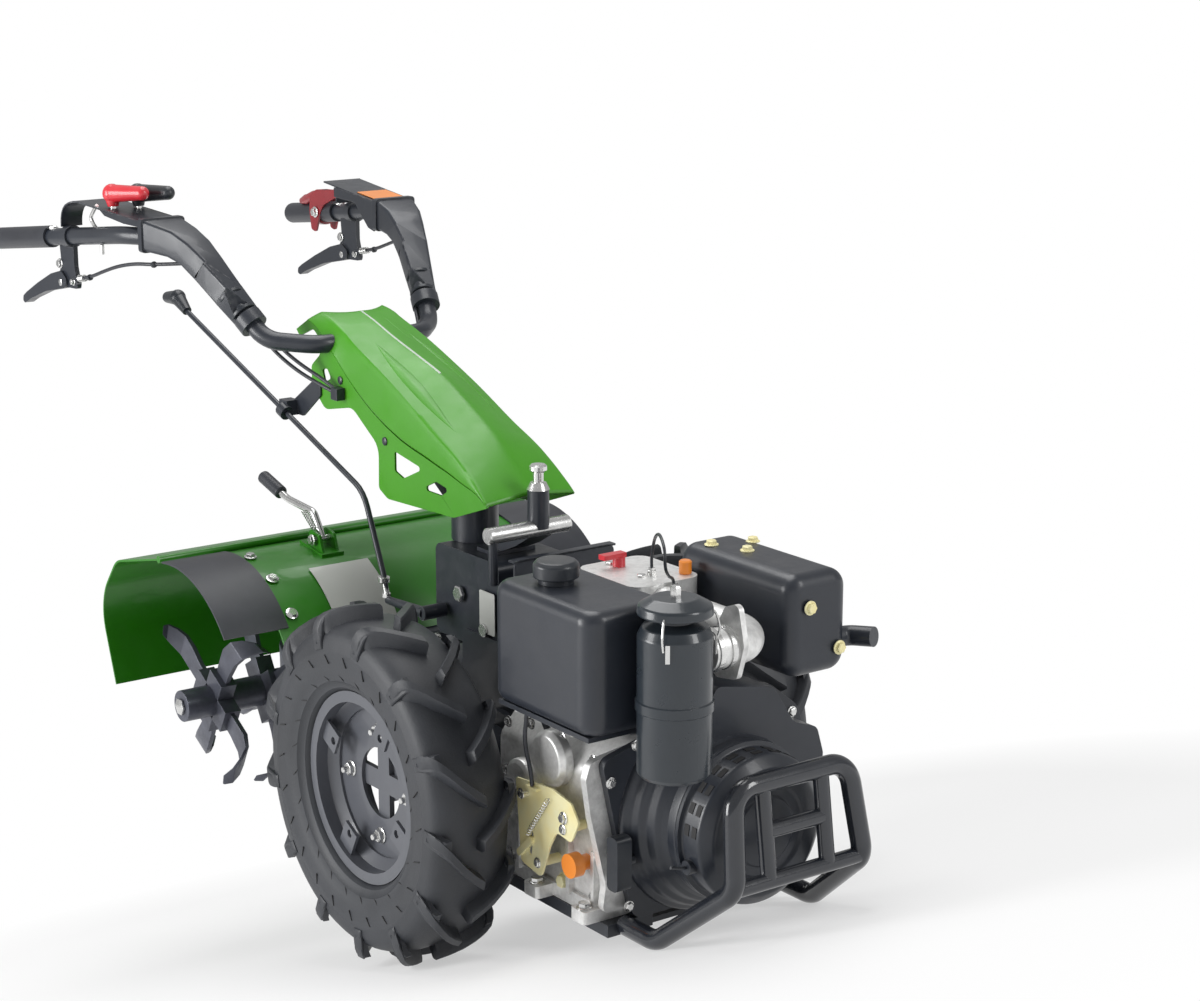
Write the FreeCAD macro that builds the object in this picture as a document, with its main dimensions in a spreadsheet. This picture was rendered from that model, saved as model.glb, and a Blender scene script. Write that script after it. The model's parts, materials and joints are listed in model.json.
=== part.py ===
import FreeCAD, Part
import math
import os
import Sketcher
from FreeCAD import Placement, Rotation, Vector

# A two-wheeled walk-behind power weeder with a single-cylinder diesel in front of the axle
# and a rotary tiller behind it.  Every piece is drawn with the machine level: X forward to
# the engine, Y to the machine's left, Z up, the origin on the ground under the axle.  The
# finished pieces are then turned nose-down about the axle until the front guard's lower
# bends rest on the ground beside the tyres, which is how the machine parks.

doc = FreeCAD.newDocument("PowerWeeder")

SIZES = [
    # name, value in mm (or degrees, or a count), meaning
    ("tyre_radius", 262.0, "axle to the lugs' tips"),
    ("tyre_half_width", 64.0, "half the width over the side walls"),
    ("carcass_radius", 241.0, "axle to the tread between the lugs"),
    ("wheel_offset", 270.0, "machine's centre plane to a wheel's centre plane"),
    ("lug_count", 13, "lugs on each side of one tyre"),
    ("lug_width", 17.0, "across the top of a lug"),
    ("lug_sweep", 16.0, "degrees by which a lug's middle end leads its outer end"),
    ("bead_radius", 127.5, "rim's bead seat"),
    ("flange_radius", 140.0, "rim's flange edge"),
    ("rim_half_width", 43.0, "wheel's centre plane to the flange's outer face"),
    ("rim_sheet", 3.5, "rim's wall"),
    ("drop_radius", 112.0, "rim's drop centre, outside"),
    ("disc_hole_radius", 52.0, "hole in the wheel disc"),
    ("disc_bolt_radius", 79.0, "bolt circle of the wheel disc"),
    ("axle_radius", 17.5, "wheel shaft"),
    ("axle_clearance", 0.5, "between the wheel shaft and its housing"),
    ("housing_radius", 46.0, "axle housing tube"),
    ("housing_end", 178.0, "centre plane to the axle housing's outer end"),
    ("gearbox_half_width", 65.0, "main gearbox, half its width"),
    ("crank_height", 288.0, "ground to the crankshaft, level"),
    ("engine_base", 150.0, "ground to the engine's feet, level"),
    ("crankcase_rear", 128.0, "axle to the crankcase's rear face"),
    ("crankcase_front", 383.0, "axle to the crankcase's front face"),
    ("crankcase_left", 118.0, "centre plane to the crankcase's left side"),
    ("crankcase_right", 158.0, "centre plane to the crankcase's right side"),
    ("crankcase_height", 250.0, "feet to the cylinder seat"),
    ("starter_radius", 103.0, "recoil starter's drum"),
    ("starter_front", 524.5, "axle to the starter's front face"),
    ("starter_depth", 52.0, "drum length"),
    ("shroud_front", 470.0, "axle to the fan shroud's front face"),
    ("tank_length", 229.0, "fuel tank along the machine"),
    ("tank_width", 139.0, "fuel tank across the machine"),
    ("tank_height", 168.0, "fuel tank upright"),
    ("tank_corner", 18.0, "fuel tank's rounded edges"),
    ("muffler_length", 245.0, "muffler box along the machine"),
    ("muffler_width", 105.0, "muffler box across the machine"),
    ("muffler_height", 143.0, "muffler box upright"),
    ("muffler_corner", 20.0, "muffler's rounded edges"),
    ("canister_radius", 49.0, "air cleaner canister"),
    ("guard_radius", 14.0, "front guard tube, outside radius"),
    ("guard_bend", 42.0, "front guard's low bend, centre line"),
    ("bar_radius", 11.0, "front guard's inner bars"),
    ("handle_radius", 14.5, "handlebar tube, outside radius"),
    ("grip_radius", 18.5, "hand grip"),
    ("grip_length", 190.0, "hand grip"),
    ("sheet_steel", 3.0, "tiller hood's sheet"),
    ("hood_radius", 202.0, "tiller hood's arch, inside"),
    ("hood_half_width", 255.0, "centre plane to the tiller hood's edge"),
    ("shield_half_width", 345.0, "centre plane to the rear shield's edge"),
    ("rotor_reach", 158.0, "rotor axis to the blades' tips"),
    ("rotor_half_width", 346.0, "centre plane to the rotor tube's end"),
    ("rotor_tube_radius", 25.0, "rotor tube"),
    ("rotor_shaft_radius", 17.0, "shaft through the tiller gearbox"),
    ("rotor_height", 258.0, "ground to the rotor axis, level"),
    ("rotor_behind", 490.0, "axle to the rotor axis, backwards"),
    ("bonnet_half_width", 72.0, "handle bonnet, half its width"),
    ("bonnet_wall", 4.0, "handle bonnet's moulded wall"),
    ("seat_gap", 0.3, "between pieces that seat on each other"),
]

sheet = doc.addObject("Spreadsheet::Sheet", "Sizes")
for row, (alias, value, meaning) in enumerate(SIZES, start=1):
    sheet.set("A%d" % row, alias)
    sheet.set("B%d" % row, str(value))
    sheet.set("C%d" % row, meaning)
    sheet.setAlias("B%d" % row, alias)
doc.recompute()


def size(alias):
    """Value of one driving size."""
    return float(sheet.get(alias))


def bind(obj, **formulas):
    """Ties properties of an object to the sheet: bind(box, Length="tank_length")."""
    for prop, formula in formulas.items():
        words = [("Sizes." + w) if w in ALIASES else w for w in formula.split()]
        obj.setExpression(prop, " ".join(words))
    return obj


ALIASES = {alias for alias, value, meaning in SIZES}
PIECES = []


# ---------------------------------------------------------------- drawing helpers

def at(x, y, z):
    return Placement(Vector(x, y, z), Rotation())


def along(start, end):
    """Placement that carries local Z from start towards end."""
    direction = Vector(*end) - Vector(*start)
    return Placement(Vector(*start), Rotation(Vector(0, 0, 1), direction))


def box(name, low, spans):
    """Box from its low corner; a span is a number or a formula of sizes."""
    obj = doc.addObject("Part::Box", name)
    for prop, span in zip(("Length", "Width", "Height"), spans):
        if isinstance(span, str):
            bind(obj, **{prop: span})
        else:
            setattr(obj, prop, span)
    obj.Placement = at(*low)
    return obj


def cylinder(name, start, end, radius):
    """Cylinder between two points; the radius is a number or a formula of sizes."""
    obj = doc.addObject("Part::Cylinder", name)
    if isinstance(radius, str):
        bind(obj, Radius=radius)
    else:
        obj.Radius = radius
    obj.Height = (Vector(*end) - Vector(*start)).Length
    obj.Placement = along(start, end)
    return obj


def cone(name, start, end, radius_start, radius_end):
    obj = doc.addObject("Part::Cone", name)
    obj.Radius1 = radius_start
    obj.Radius2 = radius_end
    obj.Height = (Vector(*end) - Vector(*start)).Length
    obj.Placement = along(start, end)
    return obj


def fused(name, parts):
    obj = doc.addObject("Part::MultiFuse", name)
    obj.Shapes = parts
    obj.Refine = True
    return obj


def cut(name, base, tool):
    obj = doc.addObject("Part::Cut", name)
    obj.Base = base
    obj.Tool = tool
    return obj


def rounded_path(points, radii, closed=False):
    """Straight runs joined by tangent arcs; radii has one value per point."""
    points = [Vector(*p) for p in points]
    count = len(points)
    starts, ends, edges = [], [], []
    for i, corner in enumerate(points):
        before = points[i - 1]
        after = points[(i + 1) % count]
        radius = radii[i]
        if radius <= 0 or (not closed and i in (0, count - 1)):
            starts.append(corner)
            ends.append(corner)
            edges.append(None)
            continue
        back = (before - corner).normalize()
        ahead = (after - corner).normalize()
        half = back.getAngle(ahead) / 2
        reach = radius / math.tan(half)
        middle = (back + ahead).normalize()
        centre = corner + middle * (radius / math.sin(half))
        first = corner + back * reach
        last = corner + ahead * reach
        starts.append(first)
        ends.append(last)
        edges.append(Part.Arc(first, centre - middle * radius, last))
    path = []
    for i in range(count):
        if edges[i]:
            path.append(edges[i])
        j = (i + 1) % count
        if (closed or j) and (starts[j] - ends[i]).Length > 1e-6:
            path.append(Part.LineSegment(ends[i], starts[j]))
    return path


def wire_of(path):
    return Part.Wire([piece.toShape() for piece in path])


def tube(name, points, radii, radius):
    """Round bar swept along straight runs and tangent arcs."""
    route = doc.addObject("Part::Feature", name + "_route")
    route.Shape = wire_of(rounded_path(points, radii))
    ring = doc.addObject("Part::Circle", name + "_section")
    if isinstance(radius, str):
        bind(ring, Radius=radius)
    else:
        ring.Radius = radius
    ring.Placement = along(points[0], points[1])
    sweep = doc.addObject("Part::Sweep", name)
    sweep.Sections = [ring]
    sweep.Spine = (route, ["Edge%d" % (i + 1) for i in range(len(route.Shape.Edges))])
    sweep.Solid = True
    sweep.Frenet = False
    sweep.Transition = "Round corner"
    return sweep


def sketch_on(body, name, role, points, radii=None, offset=0.0, holes=()):
    """Closed outline on one of the body's origin planes, with rounded corners."""
    sketch = body.newObject("Sketcher::SketchObject", name)
    plane = next(f for f in body.Origin.OriginFeatures if f.Role == role)
    sketch.AttachmentSupport = (plane, [""])
    sketch.MapMode = "FlatFace"
    sketch.AttachmentOffset = at(0, 0, offset)
    flat = [(x, y, 0) for x, y in points]
    path = rounded_path(flat, radii or [0] * len(flat), closed=True)
    sketch.addGeometry(path, False)
    for x, y, radius in holes:
        sketch.addGeometry(Part.Circle(Vector(x, y, 0), Vector(0, 0, 1), radius), False)
    return sketch


def padded(name, role, points, radii, depth, offset=0.0, holes=(), both=False):
    """Body whose sketch outline is padded; depth is a number or a formula."""
    body = doc.addObject("PartDesign::Body", name)
    sketch = sketch_on(body, name + "_outline", role, points, radii, offset, holes)
    pad = body.newObject("PartDesign::Pad", name + "_pad")
    pad.Profile = sketch
    if isinstance(depth, str):
        bind(pad, Length=depth)
    else:
        pad.Length = depth
    if both:
        pad.Midplane = True
    body.Tip = pad
    return body


def turned(name, points, radii, place, angle=360.0):
    """Body of revolution: points are (radius, height) and local Z is the axis."""
    body = doc.addObject("PartDesign::Body", name)
    sketch = sketch_on(body, name + "_profile", "XZ_Plane", points, radii)
    turn = body.newObject("PartDesign::Revolution", name + "_turn")
    turn.Profile = sketch
    turn.ReferenceAxis = (sketch, ["V_Axis"])
    turn.Angle = angle
    body.Tip = turn
    body.Placement = place
    return body


def ruled(sections):
    """Solid between quadrilateral sections, its faces ruled."""
    wires = [Part.makePolygon([Vector(*p) for p in s] + [Vector(*s[0])]) for s in sections]
    return Part.makeLoft(wires, True, True)


def piece(obj, label):
    """Names a finished piece; its file takes the same name."""
    obj.Label = label
    PIECES.append(obj)
    return obj


def mirrored(obj, name):
    """The same piece on the machine's other side."""
    other = doc.addObject("Part::Mirroring", name)
    other.Source = obj
    other.Normal = Vector(0, 1, 0)
    other.Base = Vector(0, 0, 0)
    return other


SIDES = (("left", 1), ("right", -1))


def wheel_place(side):
    """Local Z out of the machine along the axle, local X forward."""
    turn = Rotation(Vector(1, 0, 0), Vector(0, 0, -side), Vector(0, side, 0), "XZY")
    return Placement(Vector(0, side * size("wheel_offset"), size("tyre_radius")), turn)


# ---------------------------------------------------------------- wheels

def lug(side, row, theta):
    """One tread bar: from past the tread's middle out and down over the shoulder."""
    tip = size("tyre_radius")
    carcass = size("carcass_radius")
    edge = size("tyre_half_width")
    half = size("lug_width") / 2
    sweep = size("lug_sweep")
    stations = [
        # share of the half width, share of the sweep, top radius, root radius
        (-0.05, 1.00, tip, carcass - 6),
        (0.45, 0.62, tip - 1.5, carcass - 7),
        (0.80, 0.25, tip - 7.0, carcass - 12),
        (1.00, 0.03, tip - 26.0, carcass - 26),
        (1.03, 0.00, tip - 50.0, tip - 58.0),
    ]
    sections = []
    for share, lead, top, root in stations:
        across = row * share * edge
        inner = row * (share * edge - (6 if share > 0.9 else 0))
        middle = theta + side * lead * sweep
        corners = []
        for radius, width, z in (
                (root, half + 2, inner), (top, half, across),
                (top, -half, across), (root, -half - 2, inner)):
            angle = math.radians(middle) + width / tip
            corners.append((radius * math.cos(angle), radius * math.sin(angle), z))
        sections.append(corners)
    return ruled(sections)


def tyre(side, label):
    half = size("tyre_half_width")
    bead = size("bead_radius")
    rim = size("rim_half_width") - 3.5
    crown = size("carcass_radius")
    outline = [
        (bead + 0.3, -rim), (size("flange_radius") + 1, -rim), (bead + 40, -half + 3),
        (bead + 68, -half), (crown - 14, -half + 3), (crown - 3, -half + 18),
        (crown, 0),
        (crown - 3, half - 18), (crown - 14, half - 3), (bead + 68, half),
        (bead + 40, half - 3), (size("flange_radius") + 1, rim), (bead + 0.3, rim)]
    radii = [0, 0, 40, 60, 14, 20, 300, 20, 14, 60, 40, 0, 0]
    carcass = turned(label + "_carcass", outline, radii, Placement())
    count = int(size("lug_count"))
    step = 360.0 / count
    bars = []
    for row in (1, -1):
        for i in range(count):
            bars.append(lug(side, row, i * step + (step / 2 if row < 0 else 0)))
    lugs = doc.addObject("Part::Feature", label + "_lugs")
    lugs.Shape = Part.makeCompound(bars)
    whole = fused(label, [carcass, lugs])
    whole.Refine = False
    down = math.degrees(math.atan2(1, math.tan(math.radians(park_angle)))) * side
    lead = side * size("lug_sweep")
    turn = Placement(Vector(0, 0, 0), Rotation(Vector(0, 0, 1), down - lead))
    whole.Placement = wheel_place(side).multiply(turn)
    return piece(whole, label)


def rim(side, label):
    wall = size("rim_sheet")
    seat = size("bead_radius")
    edge = size("flange_radius")
    half = size("rim_half_width")
    drop = size("drop_radius")
    outside = [(edge, half), (edge, half - wall), (seat, half - wall), (seat, 22),
               (drop, 12), (drop, -12), (seat, -22), (seat, -half + wall),
               (edge, -half + wall), (edge, -half)]
    inside = [(seat - wall, -half), (seat - wall, -22 - wall / 2), (drop - wall, -13),
              (drop - wall, 13), (seat - wall, 22 + wall / 2), (seat - wall, half)]
    barrel = turned(label + "_barrel", outside + inside, [0] * 16, Placement())
    hole = size("disc_hole_radius")
    plate = [(hole, 4), (drop - 1, 4), (drop - 1, 9), (hole, 9)]
    disc = turned(label + "_disc", plate, [0] * 4, Placement())
    tabs = []
    for i in range(4):
        turn = Rotation(Vector(0, 0, 1), 62 + 90 * i)
        tab = box(label + "_tab%d" % i, (0, 0, 0), (38, 34, 5))
        tab.Placement = Placement(Vector(0, 0, half - 12), turn).multiply(at(86, -17, 0))
        tabs.append(tab)
    whole = fused(label + "_shell", [barrel, disc] + tabs)
    drills = []
    for i in range(4):
        angle = math.radians(62 + 90 * i)
        x, y = 96 * math.cos(angle), 96 * math.sin(angle)
        drills.append(cylinder(label + "_hole%d" % i, (x, y, 20), (x, y, 50), 6.0))
    holes = fused(label + "_drills", drills)
    drilled = cut(label, whole, holes)
    drilled.Placement = wheel_place(side)
    return piece(drilled, label)


def hub(side, label):
    """Wheel shaft with its square sleeve and four-armed flange behind the disc."""
    inner = 70 - size("wheel_offset")
    shaft = cylinder(label + "_shaft", (0, 0, inner), (0, 0, -8), "axle_radius")
    sleeve = cylinder(label + "_sleeve", (0, 0, -60), (0, 0, -4), 30)
    arms = []
    for i in range(4):
        arm = box(label + "_arm%d" % i, (0, 0, 0), (size("disc_bolt_radius") + 14, 30, 8))
        turn = Rotation(Vector(0, 0, 1), 90 * i)
        arm.Placement = Placement(Vector(0, 0, -4.3), turn).multiply(at(0, -15, 0))
        arms.append(arm)
    whole = fused(label, [shaft, sleeve] + arms)
    whole.Placement = wheel_place(side)
    return piece(whole, label)


# ---------------------------------------------------------------- drive line

def axle_housing(side, label):
    start = side * (size("gearbox_half_width") + 0.3)
    end = side * size("housing_end")
    height = size("tyre_radius")
    tube_ = cylinder(label + "_tube", (0, start, height), (0, end, height), "housing_radius")
    foot = cylinder(label + "_foot", (0, start, height), (0, start + side * 12, height), 68)
    lip = cylinder(label + "_lip", (0, end - side * 14, height), (0, end, height), 54)
    body = fused(label + "_body", [tube_, foot, lip])
    bore = cylinder(label + "_bore", (0, start, height), (0, end, height),
                    "axle_radius + axle_clearance")
    return piece(cut(label, body, bore), label)


def gearbox():
    half = size("gearbox_half_width")
    lower = padded("gearbox_lower", "XZ_Plane",
                   [(-105, 150), (-60, 138), (60, 150), (72, 230), (72, 400), (20, 430),
                    (-110, 430), (-118, 250)],
                   [20, 20, 25, 0, 15, 10, 10, 30], "2 * gearbox_half_width", -half)
    upper = padded("gearbox_upper", "XZ_Plane",
                   [(-190, 405), (-20, 405), (-20, 545), (-190, 545)],
                   [14, 0, 14, 14], 120, -60)
    rear = cylinder("gearbox_rear", (-100, 0, 310), (-200, 0, 310), 58)
    whole = fused("gearbox_case", [lower, upper, rear])
    bore = cylinder("gearbox_axle_bore", (0, -half - 1, size("tyre_radius")),
                    (0, half + 1, size("tyre_radius")), "axle_radius + axle_clearance")
    return piece(cut("gearbox", whole, bore), "gearbox")


def clutch_housing():
    z = size("crank_height")
    bell = cylinder("clutch_bell", (96, 0, z), (size("crankcase_rear") - 0.3, 0, z), 112)
    neck = cone("clutch_neck", (72.3, 0, z), (97, 0, z), 92, 112)
    return piece(fused("clutch_housing", [bell, neck]), "clutch_housing")


def tiller_neck():
    pipe = cylinder("tiller_neck_pipe", (-200.3, 0, 310), (-300, 0, 310), 40)
    front = cylinder("tiller_neck_front", (-200.3, 0, 310), (-214, 0, 310), 58)
    back = cylinder("tiller_neck_back", (-286, 0, 310), (-300, 0, 310), 56)
    return piece(fused("tiller_neck", [pipe, front, back]), "tiller_neck")


# ---------------------------------------------------------------- engine

def engine():
    rear = size("crankcase_rear")
    front = size("crankcase_front")
    left = size("crankcase_left")
    right = size("crankcase_right")
    base = size("engine_base")
    tall = size("crankcase_height")
    block = padded("crankcase_block", "YZ_Plane",
                   [(-right, base + 16), (left, base + 16), (left, base + tall - 60),
                    (left - 40, base + tall), (-right + 45, base + tall),
                    (-right, base + tall - 50)],
                   [12, 12, 25, 15, 15, 25], front - rear, rear)
    sole = box("crankcase_sole", (rear + 25, -right - 32, base),
               (front - rear - 35, right + left + 52, 18))
    piece(fused("engine_crankcase", [block, sole]), "engine_crankcase")

    core_low = base + tall + 0.3
    core = box("cylinder_core", (176, -54, core_low), (150, 100, 122))
    fins = []
    for i in range(8):
        fins.append(box("cylinder_fin%d" % i, (166, -66, core_low + 8 + 14 * i),
                        (170, 124, 4)))
    piece(fused("engine_cylinder", [core] + fins), "engine_cylinder")

    cover = padded("rocker_cover", "XY_Plane",
                   [(172, -60), (312, -60), (312, 57), (172, 57)], [20] * 4, 62,
                   core_low + 122.3)
    piece(cover, "rocker_cover")


def fan_shroud():
    front = size("shroud_front")
    rear = size("crankcase_front") + 0.3
    crank = size("crank_height")
    flange = padded("shroud_flange", "YZ_Plane",
                    [(-124, 150.5), (120, 150.5), (178, 220), (190, 316), (160, 400), (110, 440),
                     (20, 455), (-60, 415), (-176, 385), (-166, 340)],
                    [20, 40, 40, 50, 30, 25, 30, 40, 15, 30], 12, rear)
    bowl = cone("shroud_bowl", (rear + 5, 0, crank), (front - 14, 0, crank), 150, 118)
    ring = cylinder("shroud_ring", (front - 16, 0, crank), (front, 0, crank), 112)
    duct = padded("shroud_duct", "YZ_Plane",
                  [(0, 300), (155, 300), (162, 345), (150, 385), (108, 400), (70, 458),
                   (-28, 476), (-60, 400)],
                  [0, 0, 15, 15, 20, 14, 12, 20], front - 22 - rear, rear + 5)
    piece(fused("fan_shroud", [flange, bowl, ring, duct]), "fan_shroud")


def recoil_starter():
    front = size("starter_front")
    depth = size("starter_depth")
    radius = size("starter_radius")
    rear = size("shroud_front") + 0.3
    outline = [(0, 0), (112, 0), (112, 5), (radius, 7), (radius, depth - 14),
               (radius - 16, depth), (48, depth + 1.5), (44, depth - 2), (0, depth - 2)]
    place = along((rear, 0, size("crank_height")), (front, 0, size("crank_height")))
    drum = turned("recoil_starter", outline, [0, 0, 0, 3, 8, 10, 2, 2, 0], place)
    piece(drum, "recoil_starter")
    bar = padded("starter_grip_bar", "XZ_Plane",
                 [(400, 208), (424, 208), (424, 284), (400, 284)], [8] * 4, 24, 148)
    rope = cylinder("starter_grip_neck", (412, -150, 246), (412, -136.5, 246), 6)
    piece(fused("starter_grip", [bar, rope]), "starter_grip")


def air_cleaner():
    outline = [(0, 395), (44, 395), (49, 402), (49, 484), (51, 486), (51, 498), (49, 500),
               (49, 584), (43, 596), (24, 602), (24, 606), (50, 612), (48, 624), (30, 634),
               (0, 634)]
    radii = [0, 5, 4, 0, 0, 0, 0, 6, 4, 0, 0, 3, 6, 8, 0]
    place = Placement(Vector(510, -145, 0), Rotation())
    piece(turned("air_cleaner", outline, radii, place), "air_cleaner")
    elbow = tube("intake_bend", [(510, -92, 553), (510, -10, 553), (312.3, -10, 553)],
                 [0, 42, 0], 27)
    mouth = cylinder("intake_mouth", (510, -95.7, 553), (510, -90, 553), 27)
    flange = padded("intake_flange", "XZ_Plane",
                    [(482, 505), (530, 512), (545, 560), (532, 615), (505, 605), (478, 560)],
                    [10] * 6, 8, 52)
    piece(fused("intake_elbow", [elbow, flange, mouth]), "intake_elbow")


def tank_and_muffler():
    tank = padded("fuel_tank", "XY_Plane",
                  [(228, -241), (228 + size("tank_length"), -241),
                   (228 + size("tank_length"), -241 + size("tank_width")),
                   (228, -241 + size("tank_width"))],
                  [28] * 4, "tank_height", 443)
    soften(tank, "tank_corner")
    piece(tank, "fuel_tank")
    shelf = box("tank_shelf", (236, -232, 436), (206, 150, 6.7))
    posts = [box("tank_post%d" % i, (x, -104, 400.3), (24, 22, 38))
             for i, x in enumerate((244, 340))]
    piece(fused("tank_bracket", [shelf] + posts), "tank_bracket")
    cap = turned("tank_cap", [(0, 0), (24, 0), (24, 8), (31, 8), (31, 26), (26, 31), (0, 31)],
                 [0, 0, 0, 2, 5, 4, 0], at(300, -182, 611.3))
    piece(cap, "tank_cap")
    box_ = padded("muffler_box", "YZ_Plane",
                  [(64, 474), (64 + size("muffler_width"), 474),
                   (64 + size("muffler_width"), 474 + size("muffler_height")),
                   (64, 474 + size("muffler_height"))],
                  [26] * 4, "muffler_length", 243)
    soften(box_, "muffler_corner")
    pipe = tube("muffler_pipe", [(462, 150, 512), (462, 190, 512), (500, 205, 516)],
                [0, 18, 0], 14)
    stub = cylinder("muffler_stub", (290, 58.3, 496), (290, 70, 496), 20)
    piece(fused("muffler", [box_, pipe, stub]), "muffler")


def soften(body, radius):
    """Rounds the rim edges of a padded body's two end faces."""
    doc.recompute()
    pad = body.Tip
    box_ = pad.Shape.BoundBox
    low, high = end_planes(pad)
    names = []
    for i, edge in enumerate(pad.Shape.Edges):
        spots = [v.Point for v in edge.Vertexes]
        for plane in (low, high):
            if all(abs(plane[1].dot(p) - plane[0]) < 1e-4 for p in spots):
                names.append("Edge%d" % (i + 1))
    fillet = body.newObject("PartDesign::Fillet", body.Name + "_soft")
    fillet.Base = (pad, names)
    bind(fillet, Radius=radius)
    body.Tip = fillet
    return box_


def end_planes(pad):
    """Distances along the pad's direction of its first and last face."""
    normal = pad.Profile[0].Placement.Rotation.multVec(Vector(0, 0, 1))
    reach = [normal.dot(v.Point) for v in pad.Shape.Vertexes]
    return (min(reach), normal), (max(reach), normal)


def small_engine_fittings():
    plate = padded("governor_sheet", "XZ_Plane",
                   [(222, 190), (262, 190), (300, 215), (330, 250), (330, 275), (300, 285),
                    (300, 320), (222, 320)],
                   [4, 8, 8, 8, 8, 6, 4, 4], 4, 164)
    posts = [cylinder("governor_post%d" % i, (x, -164, z), (x, -158.3, z), 7)
             for i, (x, z) in enumerate(((240, 205), (240, 300), (285, 300)))]
    piece(fused("governor_plate", [plate] + posts), "governor_plate")
    stem = cylinder("filler_stem", (338, -158.3, 224), (338, -176, 224), 11)
    head = cylinder("filler_head", (338, -174, 224), (338, -190, 224), 17)
    piece(fused("oil_filler_cap", [stem, head]), "oil_filler_cap")
    top = size("engine_base") + size("crankcase_height") + 0.3 + 122.3 + 62.3
    base = cylinder("release_base", (205, -8, top), (205, -8, top + 14), 9)
    arm = box("release_arm", (198, -38, top + 13), (14, 38, 7))
    piece(fused("decompression_lever", [base, arm]), "decompression_lever")


# ---------------------------------------------------------------- frame and guard

GUARD_LOW = (462.0, 136.0, 145.0)
GUARD_MID = (594.0, 109.0, 253.0)
GUARD_TOP = (572.0, 97.0, 382.0)


def front_guard():
    def on(point, side):
        return (point[0], side * point[1], point[2])
    start = (392.0, GUARD_LOW[1], GUARD_LOW[2])
    points = [on(start, -1), on(GUARD_LOW, -1), on(GUARD_MID, -1), on(GUARD_TOP, -1),
              on(GUARD_TOP, 1), on(GUARD_MID, 1), on(GUARD_LOW, 1), on(start, 1)]
    bend = size("guard_bend")
    loop = tube("guard_loop", points, [0, bend, 34, 34, 34, 34, bend, 0], "guard_radius")
    bar = cylinder("guard_bar", (590, -106, 253), (590, 106, 253), "bar_radius")
    posts = [cylinder("guard_post%d" % i, (590, y, 253), (572, y, 380), "bar_radius")
             for i, y in enumerate((-50, 50))]
    rung = cylinder("guard_rung", (580, -50, 318), (580, 50, 318), "bar_radius")
    piece(fused("front_guard", [loop, bar, rung] + posts), "front_guard")


def engine_frame():
    rails = []
    for side in (1, -1):
        low = 88 if side > 0 else -164
        rails.append(box("frame_rail%d" % side, (60, low, 132), (331.7, 76, 17.7)))
    cross = [box("frame_cross%d" % i, (x, -160, 132), (40, 320, 8))
             for i, x in enumerate((60, 345))]
    piece(fused("engine_frame", rails + cross), "engine_frame")


# ---------------------------------------------------------------- handle

HANDLE_ROUTE = [(-1222, 292, 907), (-830, 262, 955), (-640, 222, 925), (-530, 162, 832),
                (-470, 112, 806), (-445, 0, 806)]


def handlebar():
    half = [(x, -y, z) for x, y, z in HANDLE_ROUTE]
    points = half[:-1] + HANDLE_ROUTE[-2::-1]
    radii = [0, 130, 110, 90, 70, 70, 90, 110, 130, 0]
    piece(tube("handlebar_tube", points, radii, "handle_radius"), "handlebar_tube")
    for name, side in SIDES:
        end = Vector(-1222, side * 292, 907)
        run = (Vector(-830, side * 262, 955) - end).normalize()
        start = end - run * 4
        stop = end + run * size("grip_length")
        rubber = cylinder("grip_rubber_" + name, start, stop, "grip_radius")
        bore = cylinder("grip_bore_" + name, end - run * seat_, stop + run,
                        "handle_radius + seat_gap")
        piece(cut("grip_" + name, rubber, bore), "grip_" + name)


seat_ = size("seat_gap")


def arm_cover(name, side):
    """Tapered box cover over the rise of one handle arm."""
    stations = [(-895, 233, 984, 1010, 60), (-766, 231, 925, 990, 62),
                (-640, 222, 880, 968, 60), (-537, 156, 812, 868, 44)]
    sections = []
    for x, y, low, high, width in stations:
        sections.append([(x, side * y - width / 2, low), (x, side * y + width / 2, low),
                         (x, side * y + width / 2, high), (x, side * y - width / 2, high)])
    shell = doc.addObject("Part::Feature", "arm_cover_shell_" + name)
    shell.Shape = ruled(sections)
    half = [(x, side * y, z) for x, y, z in HANDLE_ROUTE]
    core = tube("arm_cover_core_" + name, half, [0, 130, 110, 90, 70, 0],
                "handle_radius + seat_gap")
    piece(cut("arm_cover_" + name, shell, core), "arm_cover_" + name)


def brake_lever(name, side):
    plate = padded("lever_bracket_" + name, "XZ_Plane",
                   [(-1030, 845), (-1006, 840), (-1002, 922), (-1028, 922)], [4] * 4, 8,
                   -side * 272 - 4)
    blade = padded("lever_blade_" + name, "XZ_Plane",
                   [(-1020, 856), (-1060, 846), (-1150, 806), (-1170, 794), (-1160, 790),
                    (-1130, 802), (-1060, 826), (-1014, 834)],
                   [6, 60, 20, 3, 3, 20, 40, 6], 14, -side * 272 - 7)
    near = Vector(-1018, side * 276.4, 932)
    run = Vector(392, -side * 30, 48).normalize()
    band = cylinder("lever_band_" + name, near - run * 13, near + run * 13, 19)
    solid = fused("lever_solid_" + name, [plate, blade, band])
    bore = cylinder("lever_bore_" + name, near - run * 30, near + run * 30,
                    "handle_radius + seat_gap")
    piece(cut("brake_lever_" + name, solid, bore), "brake_lever_" + name)


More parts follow.
